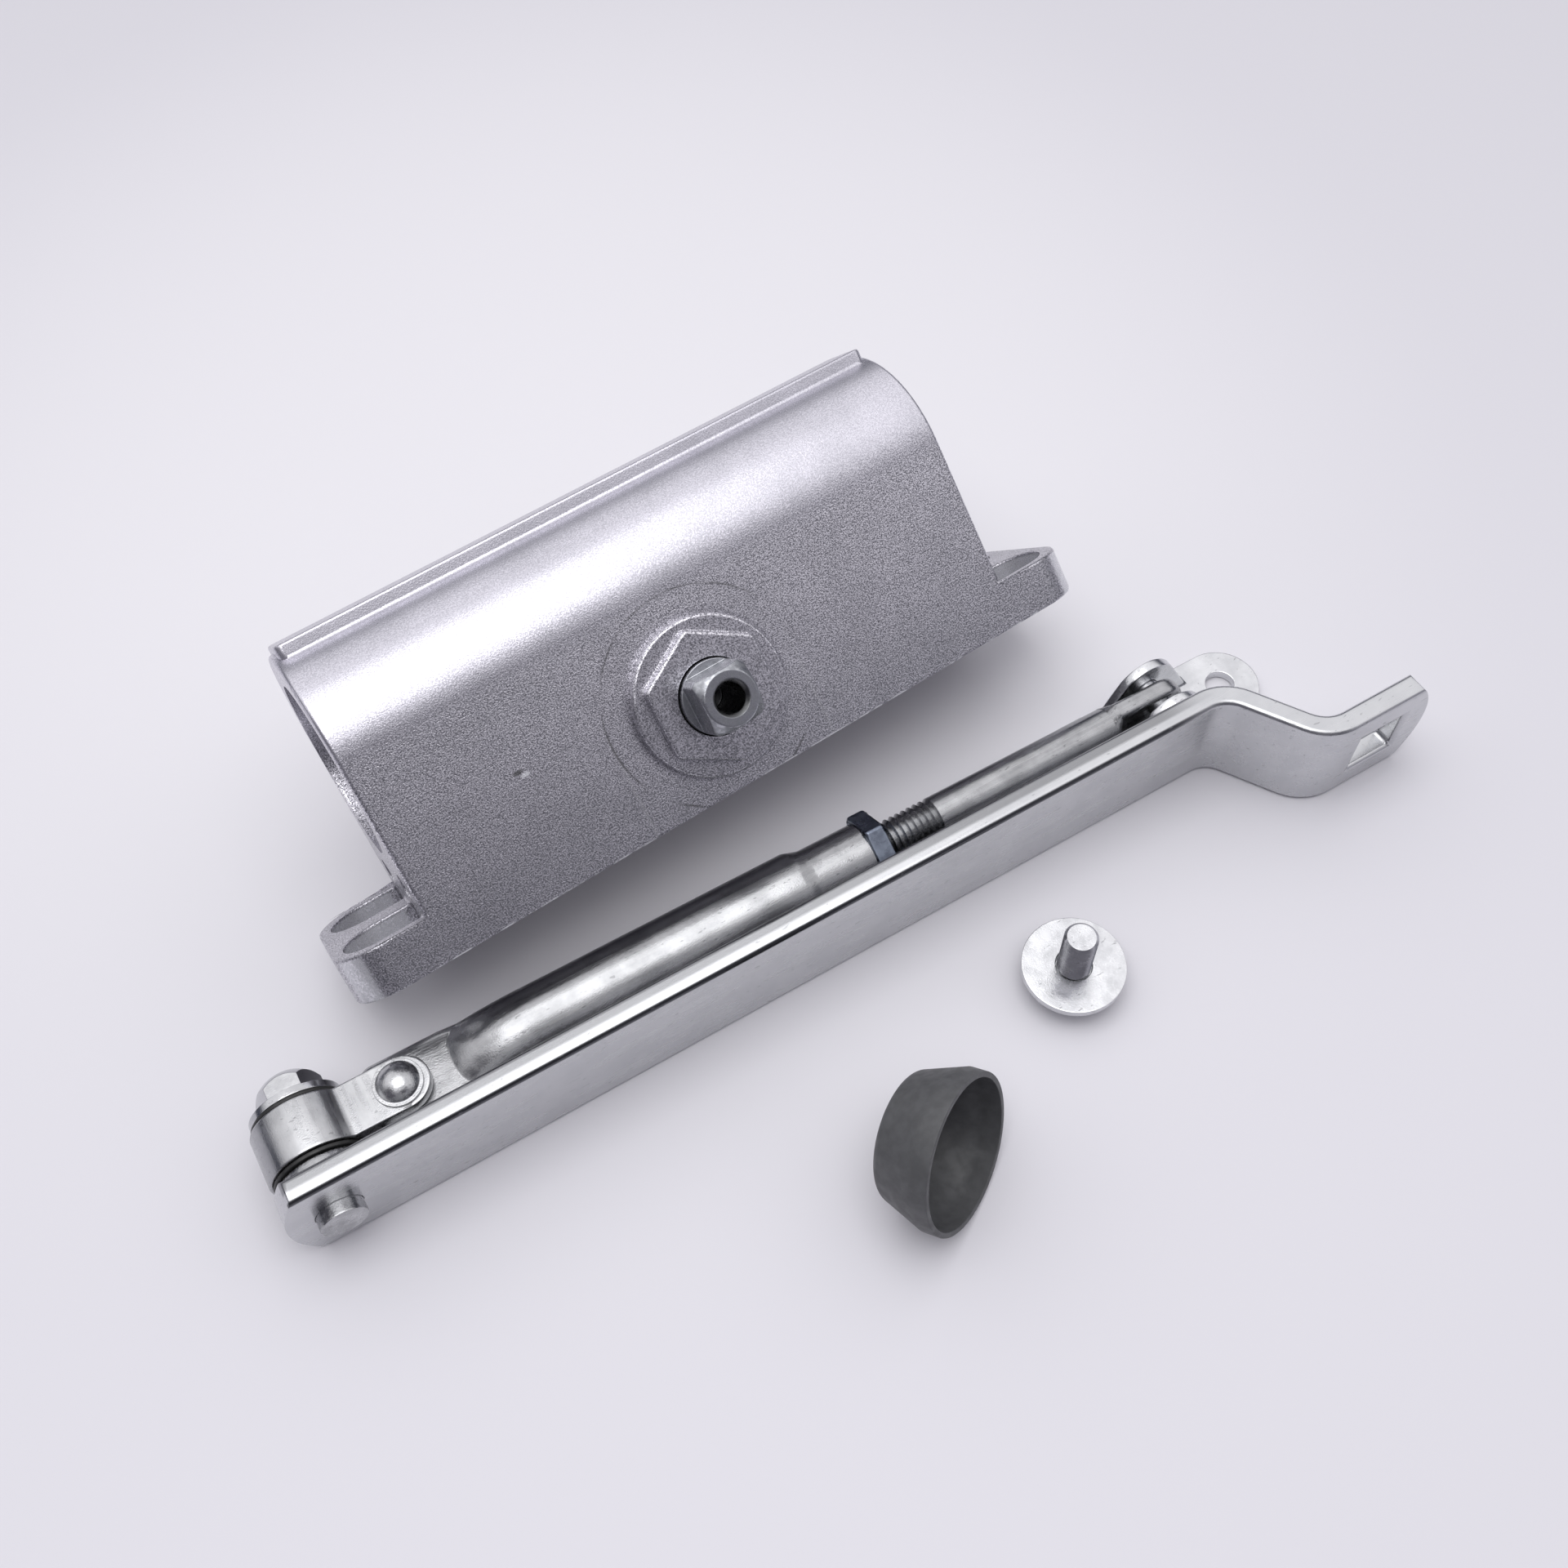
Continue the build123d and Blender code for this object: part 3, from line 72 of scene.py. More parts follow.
# %% [markdown]
# ## The camera
#
# The picture was taken from above and from the left, close by, so the near things look larger. A
# camera is three directions and a place. It could be turned by three angles, but it is easier to check
# by what it looks at: a point on the table, from a known distance, at a known slope and heading. It is
# rolled a little, as a hand-held camera is.

# %% Where the camera looks
LOOK_AT = Vector((-63.7, 25.6, 0.0)) * MM
LOOK_DISTANCE = 303.9 * MM
LOOK_SLOPE = math.radians(57.89)
LOOK_HEADING = math.radians(27.76)
LOOK_ROLL = math.radians(-3.05)

flat_right = Vector((math.cos(LOOK_HEADING), -math.sin(LOOK_HEADING), 0.0))
ahead = Vector((math.sin(LOOK_HEADING), math.cos(LOOK_HEADING), 0.0)) * math.cos(LOOK_SLOPE)
ahead.z = -math.sin(LOOK_SLOPE)
flat_up = flat_right.cross(ahead)
right = flat_right * math.cos(LOOK_ROLL) + flat_up * math.sin(LOOK_ROLL)
up = flat_up * math.cos(LOOK_ROLL) - flat_right * math.sin(LOOK_ROLL)
print("looking along", [round(c, 3) for c in ahead])

# %% Camera
LENS_MM = 36.23
SENSOR_MM = 36.0
NEAREST_SEEN = 10.0 * MM

camera_data = bpy.data.cameras.new("camera")
camera_data.lens = LENS_MM
camera_data.sensor_width = SENSOR_MM
camera_data.clip_start = NEAREST_SEEN
camera = bpy.data.objects.new("camera", camera_data)
bpy.context.collection.objects.link(camera)
turn = Matrix((right, up, -ahead)).transposed()
camera.matrix_world = Matrix.Translation(LOOK_AT - ahead * LOOK_DISTANCE) @ turn.to_4x4()
bpy.context.scene.camera = camera
print("camera at", [round(c, 4) for c in camera.matrix_world.translation])

# %% [markdown]
# ## Arithmetic for finishes
#
# A finish is a small net of nodes. Wiring each sum by hand is slow to write and slow to read, so one
# class holds a socket and lets Python's signs make the Math nodes. Its `node` method makes every
# other kind: the settings go on first, because they can change which sockets there are.

# %% A socket with arithmetic
class Wire:
    def __init__(self, tree, socket):
        self.tree = tree
        self.socket = socket

    def node(self, kind, settings, sockets, output=0):
        made = self.tree.nodes.new(kind)
        for name, value in settings.items():
            setattr(made, name, value)
        for name, value in sockets.items():
            if isinstance(value, Wire):
                self.tree.links.new(value.socket, made.inputs[name])
            else:
                made.inputs[name].default_value = value
        return Wire(self.tree, made.outputs[output])

    def math(self, operation, first, second):
        return self.node("ShaderNodeMath", {"operation": operation}, {0: first, 1: second})

    def __add__(self, other):
        return self.math("ADD", self, other)

    def __radd__(self, other):
        return self.math("ADD", other, self)

    def __sub__(self, other):
        return self.math("SUBTRACT", self, other)

    def __rsub__(self, other):
        return self.math("SUBTRACT", other, self)

    def __mul__(self, other):
        return self.math("MULTIPLY", self, other)

    def __rmul__(self, other):
        return self.math("MULTIPLY", other, self)

    def __abs__(self):
        return self.math("ABSOLUTE", self, 0.0)

    def between(self, low, high, start=0.0, end=1.0):
        """This value, taken smoothly from start at low to end at high."""
        return self.node(
            "ShaderNodeMapRange",
            {"interpolation_type": "SMOOTHSTEP"},
            {"Value": self, "From Min": low, "From Max": high, "To Min": start, "To Max": end},
        )

    def mix(self, first, second):
        """The first colour where this value is 0, the second where it is 1."""
        return self.node("ShaderNodeMix", {"data_type": "RGBA"}, {0: self, 6: first, 7: second}, output=2)

    def axis(self, name):
        """One coordinate of a place."""
        return self.node("ShaderNodeSeparateXYZ", {}, {0: self}, output="XYZ".index(name))

    def noise(self, scale, detail=2.0, roughness=0.5):
        sockets = {"Vector": self, "Scale": scale, "Detail": detail, "Roughness": roughness}
        return self.node("ShaderNodeTexNoise", {}, sockets)

    def away_from(self, point):
        """The distance from this place to a point."""
        sockets = {0: self, 1: point}
        return self.node("ShaderNodeVectorMath", {"operation": "DISTANCE"}, sockets, output="Value")

    def stretched(self, x, y, z):
        """This place with its axes scaled, so that a pattern on it is drawn out."""
        return self.node("ShaderNodeMapping", {}, {"Vector": self, "Scale": (x, y, z)})

    def seen_from(self, location, rotation):
        """This place in the frame of a piece that lies there, turned so."""
        sockets = {"Vector": self, "Location": location, "Rotation": rotation}
        return self.node("ShaderNodeMapping", {"vector_type": "TEXTURE"}, sockets)

    def bump(self, distance, strength):
        """Normals bent as if this value were a height, up to the distance."""
        return self.node("ShaderNodeBump", {}, {"Height": self, "Distance": distance, "Strength": strength})


print("signs on sockets:", [name for name in vars(Wire) if name.startswith("__r")])

# %% [markdown]
# Each finish starts the same way: a material with a Principled shader, a plain tone, and the place on the
# piece in metres, which every pattern is drawn on. That place is the Object coordinate, because the solids
# have no unwrapped map, and because a grain then has its real size on every piece.

# %% A new finish, its wires and its greys
def new_finish(name, colour, metallic, roughness):
    """A material, its shader and the place on the piece. Wires may take over the values set here."""
    material = bpy.data.materials.new(name)
    material.use_nodes = True
    tree = material.node_tree
    shader = tree.nodes["Principled BSDF"]
    shader.inputs["Base Color"].default_value = (*colour, 1.0)
    shader.inputs["Metallic"].default_value = metallic
    shader.inputs["Roughness"].default_value = roughness
    place = Wire(tree, tree.nodes.new("ShaderNodeTexCoord").outputs["Object"])
    print("finish:", name)
    return material, shader, place


def feed(shader, **wires):
    """Leads each wire to the shader's socket of that name."""
    for socket, wire in wires.items():
        wire.tree.links.new(wire.socket, shader.inputs[socket.replace("_", " ")])


def grey(level, tint=0.0):
    """A grey that leans to a cold blue by the tint."""
    return (level * (1.0 - 1.3 * tint), level * (1.0 - 0.7 * tint), level * (1.0 + tint), 1.0)

# %% [markdown]
# ## Table and light
#
# The set lies on a pale table under a big soft light. What metal shows is its surroundings, so the room
# matters as much as the lamp. Walls and cards could be modelled, but a sky that changes with direction
# does the same with no mesh: bright overhead, dark at the horizon, and dim on the camera's side.

# %% Table
TABLE_WIDTH = 6.0
TABLE_PAINTED_LIT = (0.80, 0.79, 0.825, 1.0)
TABLE_PAINTED_DIM = (0.72, 0.71, 0.755, 1.0)
PAINTED_POOL_AT = (-0.06, 0.13, 0.0)
UNTURNED = (0.0, 0.0, 0.0)
PAINTED_POOL_FALLOFF_SQUARED = 0.045

bpy.context.scene.view_settings.view_transform = "Standard"
bpy.ops.object.select_all(action="DESELECT")
bpy.ops.mesh.primitive_plane_add(size=TABLE_WIDTH)
table = bpy.context.object
table.name = "table"
material, shader, place = new_finish("pale_table", (0.80, 0.79, 0.82), 0.0, 0.6)
# The table's tone is a painted pool of light: brightest round one point and dimmer away from it.
off_middle = place.seen_from(PAINTED_POOL_AT, UNTURNED)
painted_pool_spread = off_middle.axis("X") * off_middle.axis("X") + off_middle.axis("Y") * off_middle.axis("Y")
feed(shader, Base_Color=painted_pool_spread.between(0.0, PAINTED_POOL_FALLOFF_SQUARED).mix(TABLE_PAINTED_LIT, TABLE_PAINTED_DIM))
table.data.materials.append(material)
print("table:", TABLE_WIDTH, "m wide")

# %% Room
HORIZON = (0.085, 0.09, 0.12, 1.0)
OVERHEAD = (1.12, 1.11, 1.14, 1.0)
DIM_LEFT = (0.16, 0.155, 0.182, 1.0)
DIM_RIGHT = (0.42, 0.41, 0.465, 1.0)

world = bpy.data.worlds.new("studio")
world.use_nodes = True
bpy.context.scene.world = world
tree = world.node_tree
gaze = Wire(tree, tree.nodes.new("ShaderNodeTexCoord").outputs["Generated"])
height = gaze.axis("Z")
to_viewer = gaze.axis("X") * flat_right.y - gaze.axis("Y") * flat_right.x
viewer_side = to_viewer.between(0.05, 0.45) * height.between(0.0, 0.12) * height.between(0.86, 0.74)
ceiling = height.between(0.18, 0.62).mix(HORIZON, OVERHEAD)
dim_side = gaze.axis("X").between(0.15, 0.6).mix(DIM_LEFT, DIM_RIGHT)
room = viewer_side.mix(ceiling, dim_side)
tree.links.new(room.socket, tree.nodes["Background"].inputs["Color"])
tree.nodes["Background"].inputs["Strength"].default_value = 1.0
print("room:", len(tree.nodes), "nodes")

# %% Lamp
LAMP_AT = Vector((-0.13, 0.02, 0.6))
LAMP_AIM = Vector((-0.11, 0.02, 0.0))
LAMP_SIZE = (0.48, 0.50)
LAMP_WATTS = 1.2

lamp = bpy.data.lights.new("overhead_box", "AREA")
lamp.shape = "RECTANGLE"
lamp.size, lamp.size_y = LAMP_SIZE
lamp.energy = LAMP_WATTS
lamp_object = bpy.data.objects.new("overhead_box", lamp)
bpy.context.collection.objects.link(lamp_object)
lamp_object.location = LAMP_AT
lamp_object.rotation_euler = (LAMP_AIM - LAMP_AT).to_track_quat("-Z", "Y").to_euler()
print("lamp:", lamp.name, LAMP_WATTS, "W")

# %% [markdown]
# ## Sandy silver paint
#
# The body and its two bearing caps are cast, then sprayed with a silver paint that dries to a fine
# sandy skin. Close up it is a field of grains a few tenths of a millimetre wide. Modelling the grains
# would take millions of faces, so they are a bump, and each hollow also gets a painted shade and each
# tip a painted glint. The paint is full of metal flakes, so its shader is nearly all metal, and the light
# shows as a soft band along the body's bend. The pattern is measured along the closer's own axes, which
# the record's mounts give.

# %% Axes of the closer
CLOSER_AT = Vector(mounts["door_face"]["pos_m"])
depth_axis = -Vector(mounts["door_face"]["axis"])
height_axis = Vector(mounts["pinion_thread_upper"]["axis"])
length_axis = depth_axis.cross(height_axis)
CLOSER_TURN = Matrix((length_axis, depth_axis, height_axis)).transposed().to_euler()
boss = Vector(mounts["pinion_thread_upper"]["pos_m"]) - CLOSER_AT
boss_at = (boss.dot(length_axis), boss.dot(depth_axis), 0.0)
print("closer turned by", [round(math.degrees(angle), 2) for angle in CLOSER_TURN])

# %% Grains of the paint
PAINT_METAL = 0.92
GRAIN_SCALE = 3900.0
BEND = (34.0 * MM, 42.0 * MM)
LOW_SIDE_SHADE = (26.0 * MM, 1.0 * MM)
# Tones of the grain: a painted shade in its hollows and a painted glint on its tips, for the flat face and
# for the highlight band on the bend.
FLAT_PIT_SHADE = (0.19, 0.186, 0.213, 1.0)
FLAT_TIP_GLINT = (0.96, 0.94, 1.0, 1.0)
HIGHLIGHT_BEND_PIT_SHADE = (0.50, 0.49, 0.54, 1.0)
HIGHLIGHT_BEND_TIP_GLINT = (0.72, 0.705, 0.77, 1.0)

paint, shader, place = new_finish("sandy_silver_paint", (0.6, 0.6, 0.62), PAINT_METAL, 0.3)
on_closer = place.seen_from(CLOSER_AT, CLOSER_TURN)
along = on_closer.axis("X")
depth = on_closer.axis("Y")
off_middle_plane = abs(on_closer.axis("Z"))
grains = on_closer.noise(GRAIN_SCALE, 2.0, 0.7)
raised = grains.between(0.36, 0.64)
# Under the highlight band on the bend, the painted shade and the painted glints are toned down, and the
# bump is lowered.
at_highlight_bend = depth.between(*BEND)
sand = raised.mix(at_highlight_bend.mix(FLAT_PIT_SHADE, HIGHLIGHT_BEND_PIT_SHADE), at_highlight_bend.mix(FLAT_TIP_GLINT, HIGHLIGHT_BEND_TIP_GLINT))
clouds = on_closer.noise(110.0, 3.0).between(0.3, 0.7)
# The coat: random clouds of tone, and a painted shade that darkens the flat face towards the mounting face.
coat_with_low_shade = (clouds * 0.12 + depth.between(*LOW_SIDE_SHADE) * 0.2).mix(sand, grey(0.20, 0.05))
print("grains:", round(1000.0 / GRAIN_SCALE, 2), "mm")

# %% [markdown]
# A casting has its own marks. Its mould left two faint seams on the flat face, a tool left a ring round
# the boss, and something struck one nick. A broken pale line also runs along the near edge of the
# mounting face. Each could be cut into the mesh, but none is deep enough to change an outline. So each
# is a mask: the distance from a line, a ring or a point, with a soft border.

# %% Marks on the paint
LEFT_SEAM = 19.0 * MM
RIGHT_SEAM = 17.5 * MM
SEAM = (0.45 * MM, 0.12 * MM)
SEAMS_FADE = (25.0 * MM, 12.0 * MM)
RING_R = 19.0 * MM
RING = (0.28 * MM, 0.06 * MM)
NICK_AT = (-34.8 * MM, 47.6 * MM, 0.0)
NICK = (1.3 * MM, 0.5 * MM)
NICK_LIP_AT = (-33.8 * MM, 45.8 * MM, 0.0)
NICK_LIP = (1.2 * MM, 0.4 * MM)
NICK_FLATNESS = 2.2
MOUNTING_EDGE = (0.5 * MM, 0.15 * MM)
OUTER_EDGE = (17.6 * MM, 18.2 * MM)

left_seam = abs(along + LEFT_SEAM).between(*SEAM)
right_seam = abs(along - RIGHT_SEAM).between(*SEAM)
seams = (left_seam + right_seam) * depth.between(*SEAMS_FADE) * 0.16
from_boss = on_closer.stretched(1.0, 1.0, 0.0).away_from(boss_at)
ring_breaks = on_closer.noise(70.0).between(0.40, 0.56)
ring_scratch = abs(from_boss - RING_R).between(*RING) * ring_breaks
nick = on_closer.stretched(1.0, NICK_FLATNESS, 0.0)
nick_hollow = nick.away_from(NICK_AT).between(*NICK)
nick_lip = nick.away_from(NICK_LIP_AT).between(*NICK_LIP)
# A broken pale line along the near edge of the mounting face, paler and less metallic than the paint.
near_edge = depth.between(*MOUNTING_EDGE) * off_middle_plane.between(*OUTER_EDGE)
pale_edge_line = near_edge * on_closer.noise(150.0, 4.0, 0.7).between(0.48, 0.60)
pale_marks = nick_lip * 0.6 + pale_edge_line
marked = (ring_scratch * 0.7 + nick_hollow * 0.8).mix(seams.mix(coat_with_low_shade, grey(0.85)), grey(0.12))
print("marks: 2 seams, a ring of", round(RING_R / MM, 1), "mm radius, a nick and a pale edge line")

# %% [markdown]
# In the recesses of the lugs, on the ends of the body and on the bearing caps the skin is smoother. The
# same finish serves there: a mask of each place takes the bump away, and pales the recesses.

# %% Smoother places, and the paint put together
LUG = ((60.0 * MM, 61.0 * MM), (74.4 * MM, 73.8 * MM))
RECESS_HALF_WIDTH = (17.8 * MM, 17.2 * MM)
RECESS_DEPTH = (8.3 * MM, 7.8 * MM)
BODY_END = (58.3 * MM, 58.8 * MM)
ABOVE_LUG = (8.6 * MM, 9.4 * MM)
CAP_R = (15.2 * MM, 14.2 * MM)

off_middle = abs(along)
on_lug = off_middle.between(*LUG[0]) * off_middle.between(*LUG[1])
in_recess = on_lug * off_middle_plane.between(*RECESS_HALF_WIDTH) * depth.between(*RECESS_DEPTH)
on_end = off_middle.between(*BODY_END) * depth.between(*ABOVE_LUG)
smooth = in_recess * 0.8 + on_end * 0.85 + from_boss.between(*CAP_R) * 0.55
feed(
    shader,
    Base_Color=(pale_marks + in_recess * 0.5).mix(marked, grey(0.9, 0.02)),
    Metallic=PAINT_METAL - pale_marks * 0.7 - in_recess * 0.3,
    Roughness=raised.between(0.0, 1.0, 0.36, 0.24),
    Normal=(grains * (1.0 - at_highlight_bend * 0.55) * (1.0 - smooth)).bump(0.075 * MM, 0.8),
)
print("paint:", len(paint.node_tree.nodes), "nodes")

# %% [markdown]
# ## Bright zinc
#
# The arm, the bracket and the small fixings are steel with a bright zinc plating. It mirrors the room
# softly. A fine grain in the plating breaks the border between a bright and a dark reflection into
# specks, so a small bump and a few dark scuffs are part of every one of these finishes. The pieces
# differ in tone and in their streaks: those of the drawn tube run along it, those of the strap across.
# The bar is rolled. On its upper edge a painted shade dulls the far half, and a painted dark reflection
# runs as a line along the near rim; both stand in for the light on an edge rounder than the bar's.

# %% Plating
# Where the bar's upper edge takes its painted shade: the far half, and a dark line at the near rim.
BAR_FAR_HALF_SHADE = ((-11.0 * MM, -10.3 * MM), (20.6 * MM, 21.2 * MM))
BAR_NEAR_SHADE_LINE = ((-11.95 * MM, -12.3 * MM), (20.9 * MM, 21.3 * MM))
BAR_STRAIGHT = (8.0 * MM, -6.0 * MM)
SCUFF_SCALE = (600.0, 1500.0, 1500.0)


def painted_edge_shade(place, tone, dark):
    """The tone of the bar, with a painted shade along its upper edge as far as the bar is straight."""
    straight = place.axis("X").between(*BAR_STRAIGHT)
    for (across, upward), colour in (
        (BAR_FAR_HALF_SHADE, grey(dark * 0.55, 0.02)),
        (BAR_NEAR_SHADE_LINE, grey(dark * 0.2, 0.04)),
    ):
        strip = place.axis("Y").between(*across) * place.axis("Z").between(*upward)
        tone = (strip * straight).mix(tone, colour)
    return tone


def plating(name, tones, roughness, streak_scale, grain_mm, with_edge_shade=False):
    """A zinc finish: its two tones, its two roughnesses, its streaks and the depth of its grain."""
    dark, light = tones
    smooth, rough = roughness
    made, shader, place = new_finish(name, (light, light, light), 1.0, rough)
    streaks = place.stretched(*streak_scale).noise(1.0, 4.0, 0.6).between(0.28, 0.72)
    blotches = place.noise(160.0, 4.0, 0.6).between(0.3, 0.7)
    scuffs = place.stretched(*SCUFF_SCALE).noise(1.0, 2.0).between(0.66, 0.72) * 0.6
    tone = (streaks * 0.4 + blotches * 0.6).mix(grey(dark, 0.018), grey(light, 0.012))
    if with_edge_shade:
        tone = painted_edge_shade(place, tone, dark)
    feed(
        shader,
        Base_Color=scuffs.mix(tone, grey(dark * 0.6, 0.02)),
        Roughness=streaks.between(0.0, 1.0, smooth, rough),
        Normal=place.noise(4200.0, 1.0).bump(grain_mm * MM, 0.5),
    )
    return made


# %% Zinc finishes
EVEN = (300.0, 300.0, 300.0)
FINE = (900.0, 900.0, 900.0)
ALONG_BAR = (60.0, 420.0, 420.0)
ALONG_TUBE = (30.0, 900.0, 900.0)
ACROSS_STRAP = (700.0, 60.0, 700.0)

zinc = plating("bright_zinc", (0.58, 0.78), (0.16, 0.28), EVEN, 0.03)
worn_zinc = plating("worn_zinc", (0.30, 0.62), (0.16, 0.32), FINE, 0.04)
bar_zinc = plating("rolled_bar_zinc", (0.56, 0.63), (0.22, 0.30), ALONG_BAR, 0.014, with_edge_shade=True)
tube_zinc = plating("drawn_tube_zinc", (0.28, 0.48), (0.16, 0.30), ALONG_TUBE, 0.04)
strap_zinc = plating("bent_strap_zinc", (0.36, 0.56), (0.20, 0.34), ACROSS_STRAP, 0.03)
nut_zinc = plating("domed_nut_zinc", (0.48, 0.64), (0.10, 0.18), EVEN, 0.02)

# %% [markdown]
# The lock nut alone is passivated blue. It could be the same plating in another colour, but it has no
# streaks or scuffs to speak of, so it is a plainer net: one pattern of wear drives tone and gloss.

# %% Blue zinc
blue_zinc, shader, place = new_finish("blue_zinc", (0.3, 0.33, 0.38), 1.0, 0.25)
wear = place.noise(500.0, 3.0).between(0.3, 0.7)
feed(
    shader,
    Base_Color=wear.mix((0.15, 0.17, 0.215, 1.0), (0.23, 0.26, 0.32, 1.0)),
    Roughness=wear.between(0.0, 1.0, 0.2, 0.34),
    Normal=place.noise(3000.0, 1.0).bump(0.012 * MM, 0.5),
)

# %% [markdown]
# ## Steel, bronze, rubber and plastic
#
# The pinion and the plugs are turned and left bare, with a thin film of oil. The bushes of the elbow
# are black nylon, and the loose cap is a moulded grey plastic. The bearing metal and the seals are
# inside the body, where nothing shows them, but each has its own finish all the same. Tool marks, pores
# and moulding are each one noise at its own scale, because at this distance only their size tells.

# %% Steel
THREAD_SHADE_R = (3.45 * MM, 3.1 * MM)

steel, shader, place = new_finish("turned_steel", (0.6, 0.6, 0.62), 1.0, 0.32)
on_closer = place.seen_from(CLOSER_AT, CLOSER_TURN)
tool_marks = on_closer.noise(900.0, 3.0, 0.6).between(0.3, 0.7)
# Inside the thread radius of the pinion's tapped hole the steel is painted dark: painted shade in the hole.
painted_shade_in_thread = on_closer.stretched(1.0, 1.0, 0.0).away_from(boss_at).between(*THREAD_SHADE_R)
feed(
    shader,
    Base_Color=painted_shade_in_thread.mix(tool_marks.mix(grey(0.32, 0.04), grey(0.50, 0.035)), grey(0.10, 0.02)),
    Roughness=tool_marks.between(0.0, 1.0, 0.40, 0.24),
    Normal=tool_marks.bump(0.02 * MM, 0.3),
)

# %% Bronze and rubber
bronze, shader, place = new_finish("bearing_bronze", (0.6, 0.42, 0.2), 1.0, 0.35)
pores = place.noise(1200.0, 3.0).between(0.3, 0.7)
feed(shader, Base_Color=pores.mix((0.46, 0.3, 0.14, 1.0), (0.66, 0.47, 0.24, 1.0)))

rubber, shader, place = new_finish("seal_rubber", (0.02, 0.02, 0.02), 0.0, 0.6)
bloom = place.noise(600.0, 3.0)
feed(
    shader,
    Base_Color=bloom.between(0.3, 0.7).mix(grey(0.012), grey(0.03)),
    Normal=bloom.bump(0.03 * MM, 0.4),
)

# %% Nylon and plastic
nylon, shader, place = new_finish("black_nylon", (0.02, 0.02, 0.02), 0.0, 0.45)
moulding = place.noise(700.0, 3.0).between(0.3, 0.7)
feed(
    shader,
    Base_Color=moulding.mix(grey(0.010), grey(0.024)),
    Roughness=moulding.between(0.0, 1.0, 0.5, 0.38),
)

plastic, shader, place = new_finish("grey_plastic", (0.1, 0.1, 0.1), 0.0, 0.5)
moulding = place.noise(500.0, 3.0)
feed(
    shader,
    Base_Color=moulding.between(0.3, 0.7).mix(grey(0.075, 0.03), grey(0.095, 0.03)),
    Roughness=moulding.between(0.3, 0.7, 0.55, 0.45),
    Normal=moulding.bump(0.03 * MM, 0.3),
)

# %% [markdown]
# The record gives every solid a material slot, so one loop can hand out the finishes. Only the adjusting
# rod differs: it shares its slot with the bright fixings, but it is drawn as the tube is, and takes that.

# %% Every solid gets the finish of its slot
finishes = {
    "body_paint": paint,
    "machined_steel": steel,
    "bronze": bronze,
    "seal_rubber": rubber,
    "bright_zinc": zinc,
    "blue_zinc": blue_zinc,
    "black_nylon": nylon,
    "grey_plastic": plastic,
}
for node, solid in nodes.items():
    solid.data.materials.clear()
    solid.data.materials.append(finishes[slot_of[node]])
nodes["adjusting_rod"].data.materials[0] = tube_zinc
print("finishes by slot:", sorted(finishes), "and the tube's own on the adjusting rod")

# %% [markdown]
# ## Soft edges
#
# A drawn edge is perfectly sharp, and no real edge is. A casting rounds its edges in the mould, a
# pressing in the tool, and paint rounds them again. A rounded edge also catches the light as a thin
# bright line, which a sharp one never does. So the pieces that show are copied from their solids, each
# edge sharper than thirty degrees is bevelled, and the normals are weighted by area, so that the flat
# faces stay flat and only the new strips turn.

# %% A copy of a solid
SAME_POINT = 0.002 * MM
SAME_FACE = math.radians(0.2)


def copy_of_solid(node, name):
    """A new piece in the shape of a solid, its faces joined up and its flat faces whole."""
    piece = bpy.data.objects.new(name, nodes[node].data.copy())
    piece.data.name = name
    bpy.context.collection.objects.link(piece)
    bpy.ops.object.select_all(action="DESELECT")
    piece.select_set(True)
    bpy.context.view_layer.objects.active = piece
    bpy.ops.mesh.customdata_custom_splitnormals_clear()
    bpy.ops.object.mode_set(mode="EDIT")
    bpy.ops.mesh.select_all(action="SELECT")
    bpy.ops.mesh.remove_doubles(threshold=SAME_POINT)
    bpy.ops.mesh.dissolve_limited(angle_limit=SAME_FACE)
    bpy.ops.object.mode_set(mode="OBJECT")
    print(name, "copied from", node)
    return piece


# %% Rounding its edges
SHARP = math.radians(30.0)
SMOOTH = math.radians(40.0)


def soften(piece, width_mm, spared, segments=2):
    """Bevels each edge sharper than thirty degrees that isn't spared."""
    bpy.ops.object.mode_set(mode="EDIT")
    bpy.ops.mesh.select_mode(type="EDGE")
    bpy.ops.mesh.select_all(action="DESELECT")
    bpy.ops.mesh.edges_select_sharp(sharpness=SHARP)
    bpy.ops.object.mode_set(mode="OBJECT")
    corners = piece.data.vertices
    for edge in piece.data.edges:
        first, last = edge.vertices
        middle = (corners[first].co + corners[last].co) / 2.0
        edge.select = edge.select and not spared(middle)
    bpy.ops.object.mode_set(mode="EDIT")
    bpy.ops.mesh.bevel(offset=width_mm * MM, segments=segments, affect="EDGES", clamp_overlap=False)
    bpy.ops.object.mode_set(mode="OBJECT")


def weigh(piece):
    """Smooths the new strips and weights the normals."""
    bpy.ops.object.shade_smooth_by_angle(angle=SMOOTH)
    weights = piece.modifiers.new("flat faces", "WEIGHTED_NORMAL")
    weights.keep_sharp = True
    bpy.ops.object.modifier_apply(modifier=weights.name)


def show(piece, node, finish):
    """The piece is shown in place of the solid, and moves with it."""
    piece.data.materials.clear()
    piece.data.materials.append(finish)
    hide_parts(node)
    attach(piece, body_of[node])
    print(piece.name, len(piece.data.polygons), "faces, rides on", body_of[node])


# %% [markdown]
# Not every edge can be rounded. The wall round the plugs of the body is too thin for it. The bar is
# rounded in two passes: its long edges are rolled to almost a millimetre, its punched holes to a fifth of
# one, and its two cut ends stay sharp, because so wide a bevel would fold over itself there. Each of
# these rules is a small function that is asked about the middle of an edge.

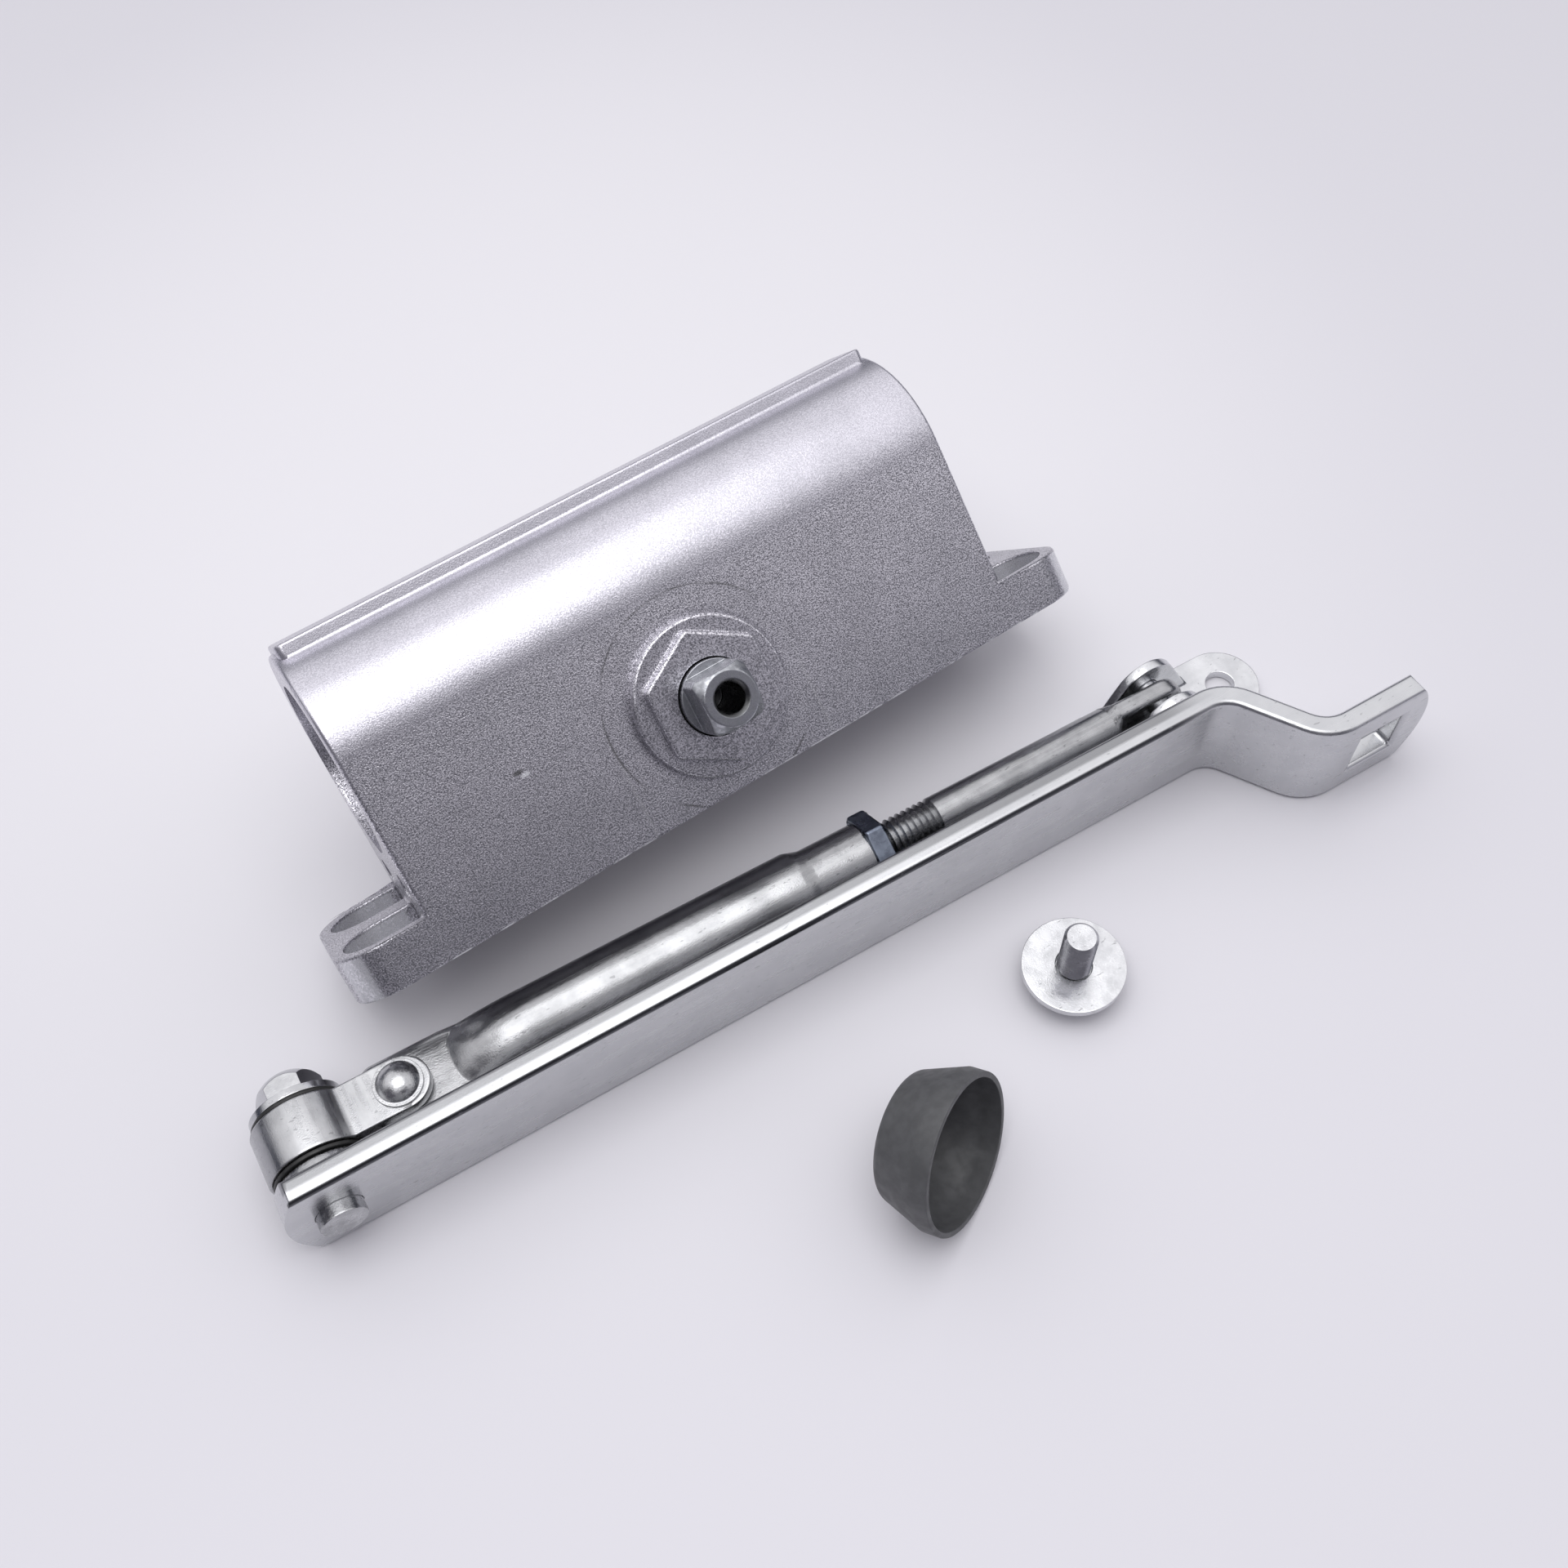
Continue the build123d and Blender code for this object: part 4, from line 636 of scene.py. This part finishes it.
# %% Edges that are spared
PLUG_WALL_FROM = 55.0 * MM
LUG_TOP = 9.0 * MM
HOLE_ZONE = 8.5 * MM
BAR_CUT_ENDS = (-171.9 * MM, 38.3 * MM)
BAR_HOLES = (Vector(mounts["arm_square_hole"]["pos_m"]), Vector(joints["elbow_swing"]["pos_m"]))


def on_body_end(middle):
    """Is this edge on an end of the body, above its lugs?"""
    inward = middle - CLOSER_AT
    return abs(inward.dot(length_axis)) > PLUG_WALL_FROM and inward.dot(depth_axis) > LUG_TOP


def at_bar_hole(middle):
    """Is this edge at the pin's hole or at the square hole of the bar?"""
    return any(math.hypot(middle.x - hole.x, middle.z - hole.z) < HOLE_ZONE for hole in BAR_HOLES)


def at_bar_hole_or_end(middle):
    first_end, last_end = BAR_CUT_ENDS
    return at_bar_hole(middle) or middle.x < first_end or middle.x > last_end


def off_bar_hole(middle):
    return not at_bar_hole(middle)


def nowhere(middle):
    return False


print("holes of the bar at", [[round(c / MM, 1) for c in hole] for hole in BAR_HOLES])

# %% [markdown]
# The lock nut is a thin one, thinner than its solid. It could be drawn anew, but a hexagon that is pressed
# together along the rod is the same nut: the copy is scaled along its length, about its face at the tube.

# %% A thin lock nut
NUT_SHARE = 0.66


def thin_nut(piece):
    """Moves the free face of the nut towards the tube's neck, along the rod."""
    bpy.ops.object.mode_set(mode="EDIT")
    bpy.ops.mesh.select_all(action="SELECT")
    bpy.ops.transform.resize(value=(NUT_SHARE, 1.0, 1.0), center_override=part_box("lock_nut")[0])
    bpy.ops.object.mode_set(mode="OBJECT")
    print(piece.name, "thinned to", NUT_SHARE, "of its solid")


# %% The pieces, the rounding of their edges in mm, and their finishes
SOFT_PIECES = {
    "housing": ("cast_body", 0.5, paint),
    "upper_bearing_cap": ("upper_cap_cover", 0.25, paint),
    "lower_bearing_cap": ("lower_cap_cover", 0.25, paint),
    "main_arm": ("cranked_bar", 0.2, bar_zinc),
    "elbow_pin": ("elbow_stud", 0.3, worn_zinc),
    "elbow_nut": ("domed_nut", 0.1, nut_zinc),
    "elbow_bushes": ("nylon_sleeves", 0.2, nylon),
    "elbow_strap": ("bent_strap", 0.5, strap_zinc),
    "strap_rivet": ("strap_rivet_heads", 0.12, worn_zinc),
    "forearm_tube": ("drawn_tube", 0.2, tube_zinc),
    "lock_nut": ("rod_lock_nut", 0.45, blue_zinc),
    "frame_bracket": ("pressed_bracket", 0.4, zinc),
    "bracket_pin": ("bracket_rivet", 0.2, zinc),
    "arm_washer": ("sprung_washer", 0.2, zinc),
    "pinion_cap": ("plastic_cup", 0.2, plastic),
    "pinion": ("square_shaft", 0.2, steel),
}
SPARED = {"housing": on_body_end, "main_arm": off_bar_hole}
BAR_ROUNDING_MM = 0.9
BAR_SEGMENTS = 4

for node, (name, width_mm, finish) in SOFT_PIECES.items():
    piece = copy_of_solid(node, name)
    if node == "main_arm":
        soften(piece, BAR_ROUNDING_MM, at_bar_hole_or_end, BAR_SEGMENTS)
    if node == "lock_nut":
        thin_nut(piece)
    soften(piece, width_mm, SPARED.get(node, nowhere))
    weigh(piece)
    show(piece, node, finish)

# %% [markdown]
# ## Return spring
#
# The spring stands inside the body, between the piston and the plug of the cylinder, and the piston
# squeezes it. A rigid spring would be run through by the piston. Here the spring is a copy of its solid,
# shown in its place, and its length along the bore is worked out beside the piston's stroke.

# %% The spring, its length along the bore and the piston's stroke
spring = copy_of_solid("return_spring", "squeezed_spring")
bpy.ops.object.shade_smooth_by_angle(angle=SMOOTH)
show(spring, "return_spring", finishes[slot_of["return_spring"]])
along_bore = [(corner.co - CLOSER_AT).dot(length_axis) for corner in spring.data.vertices]
spring_length = max(along_bore) - min(along_bore)
stroke = joints["piston_slide"]["range_m"][1]
1.0 - stroke / spring_length
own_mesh(spring)
print("spring", round(spring_length / MM, 2), "mm, squeezed by", round(stroke / MM, 2), "mm")

# %% [markdown]
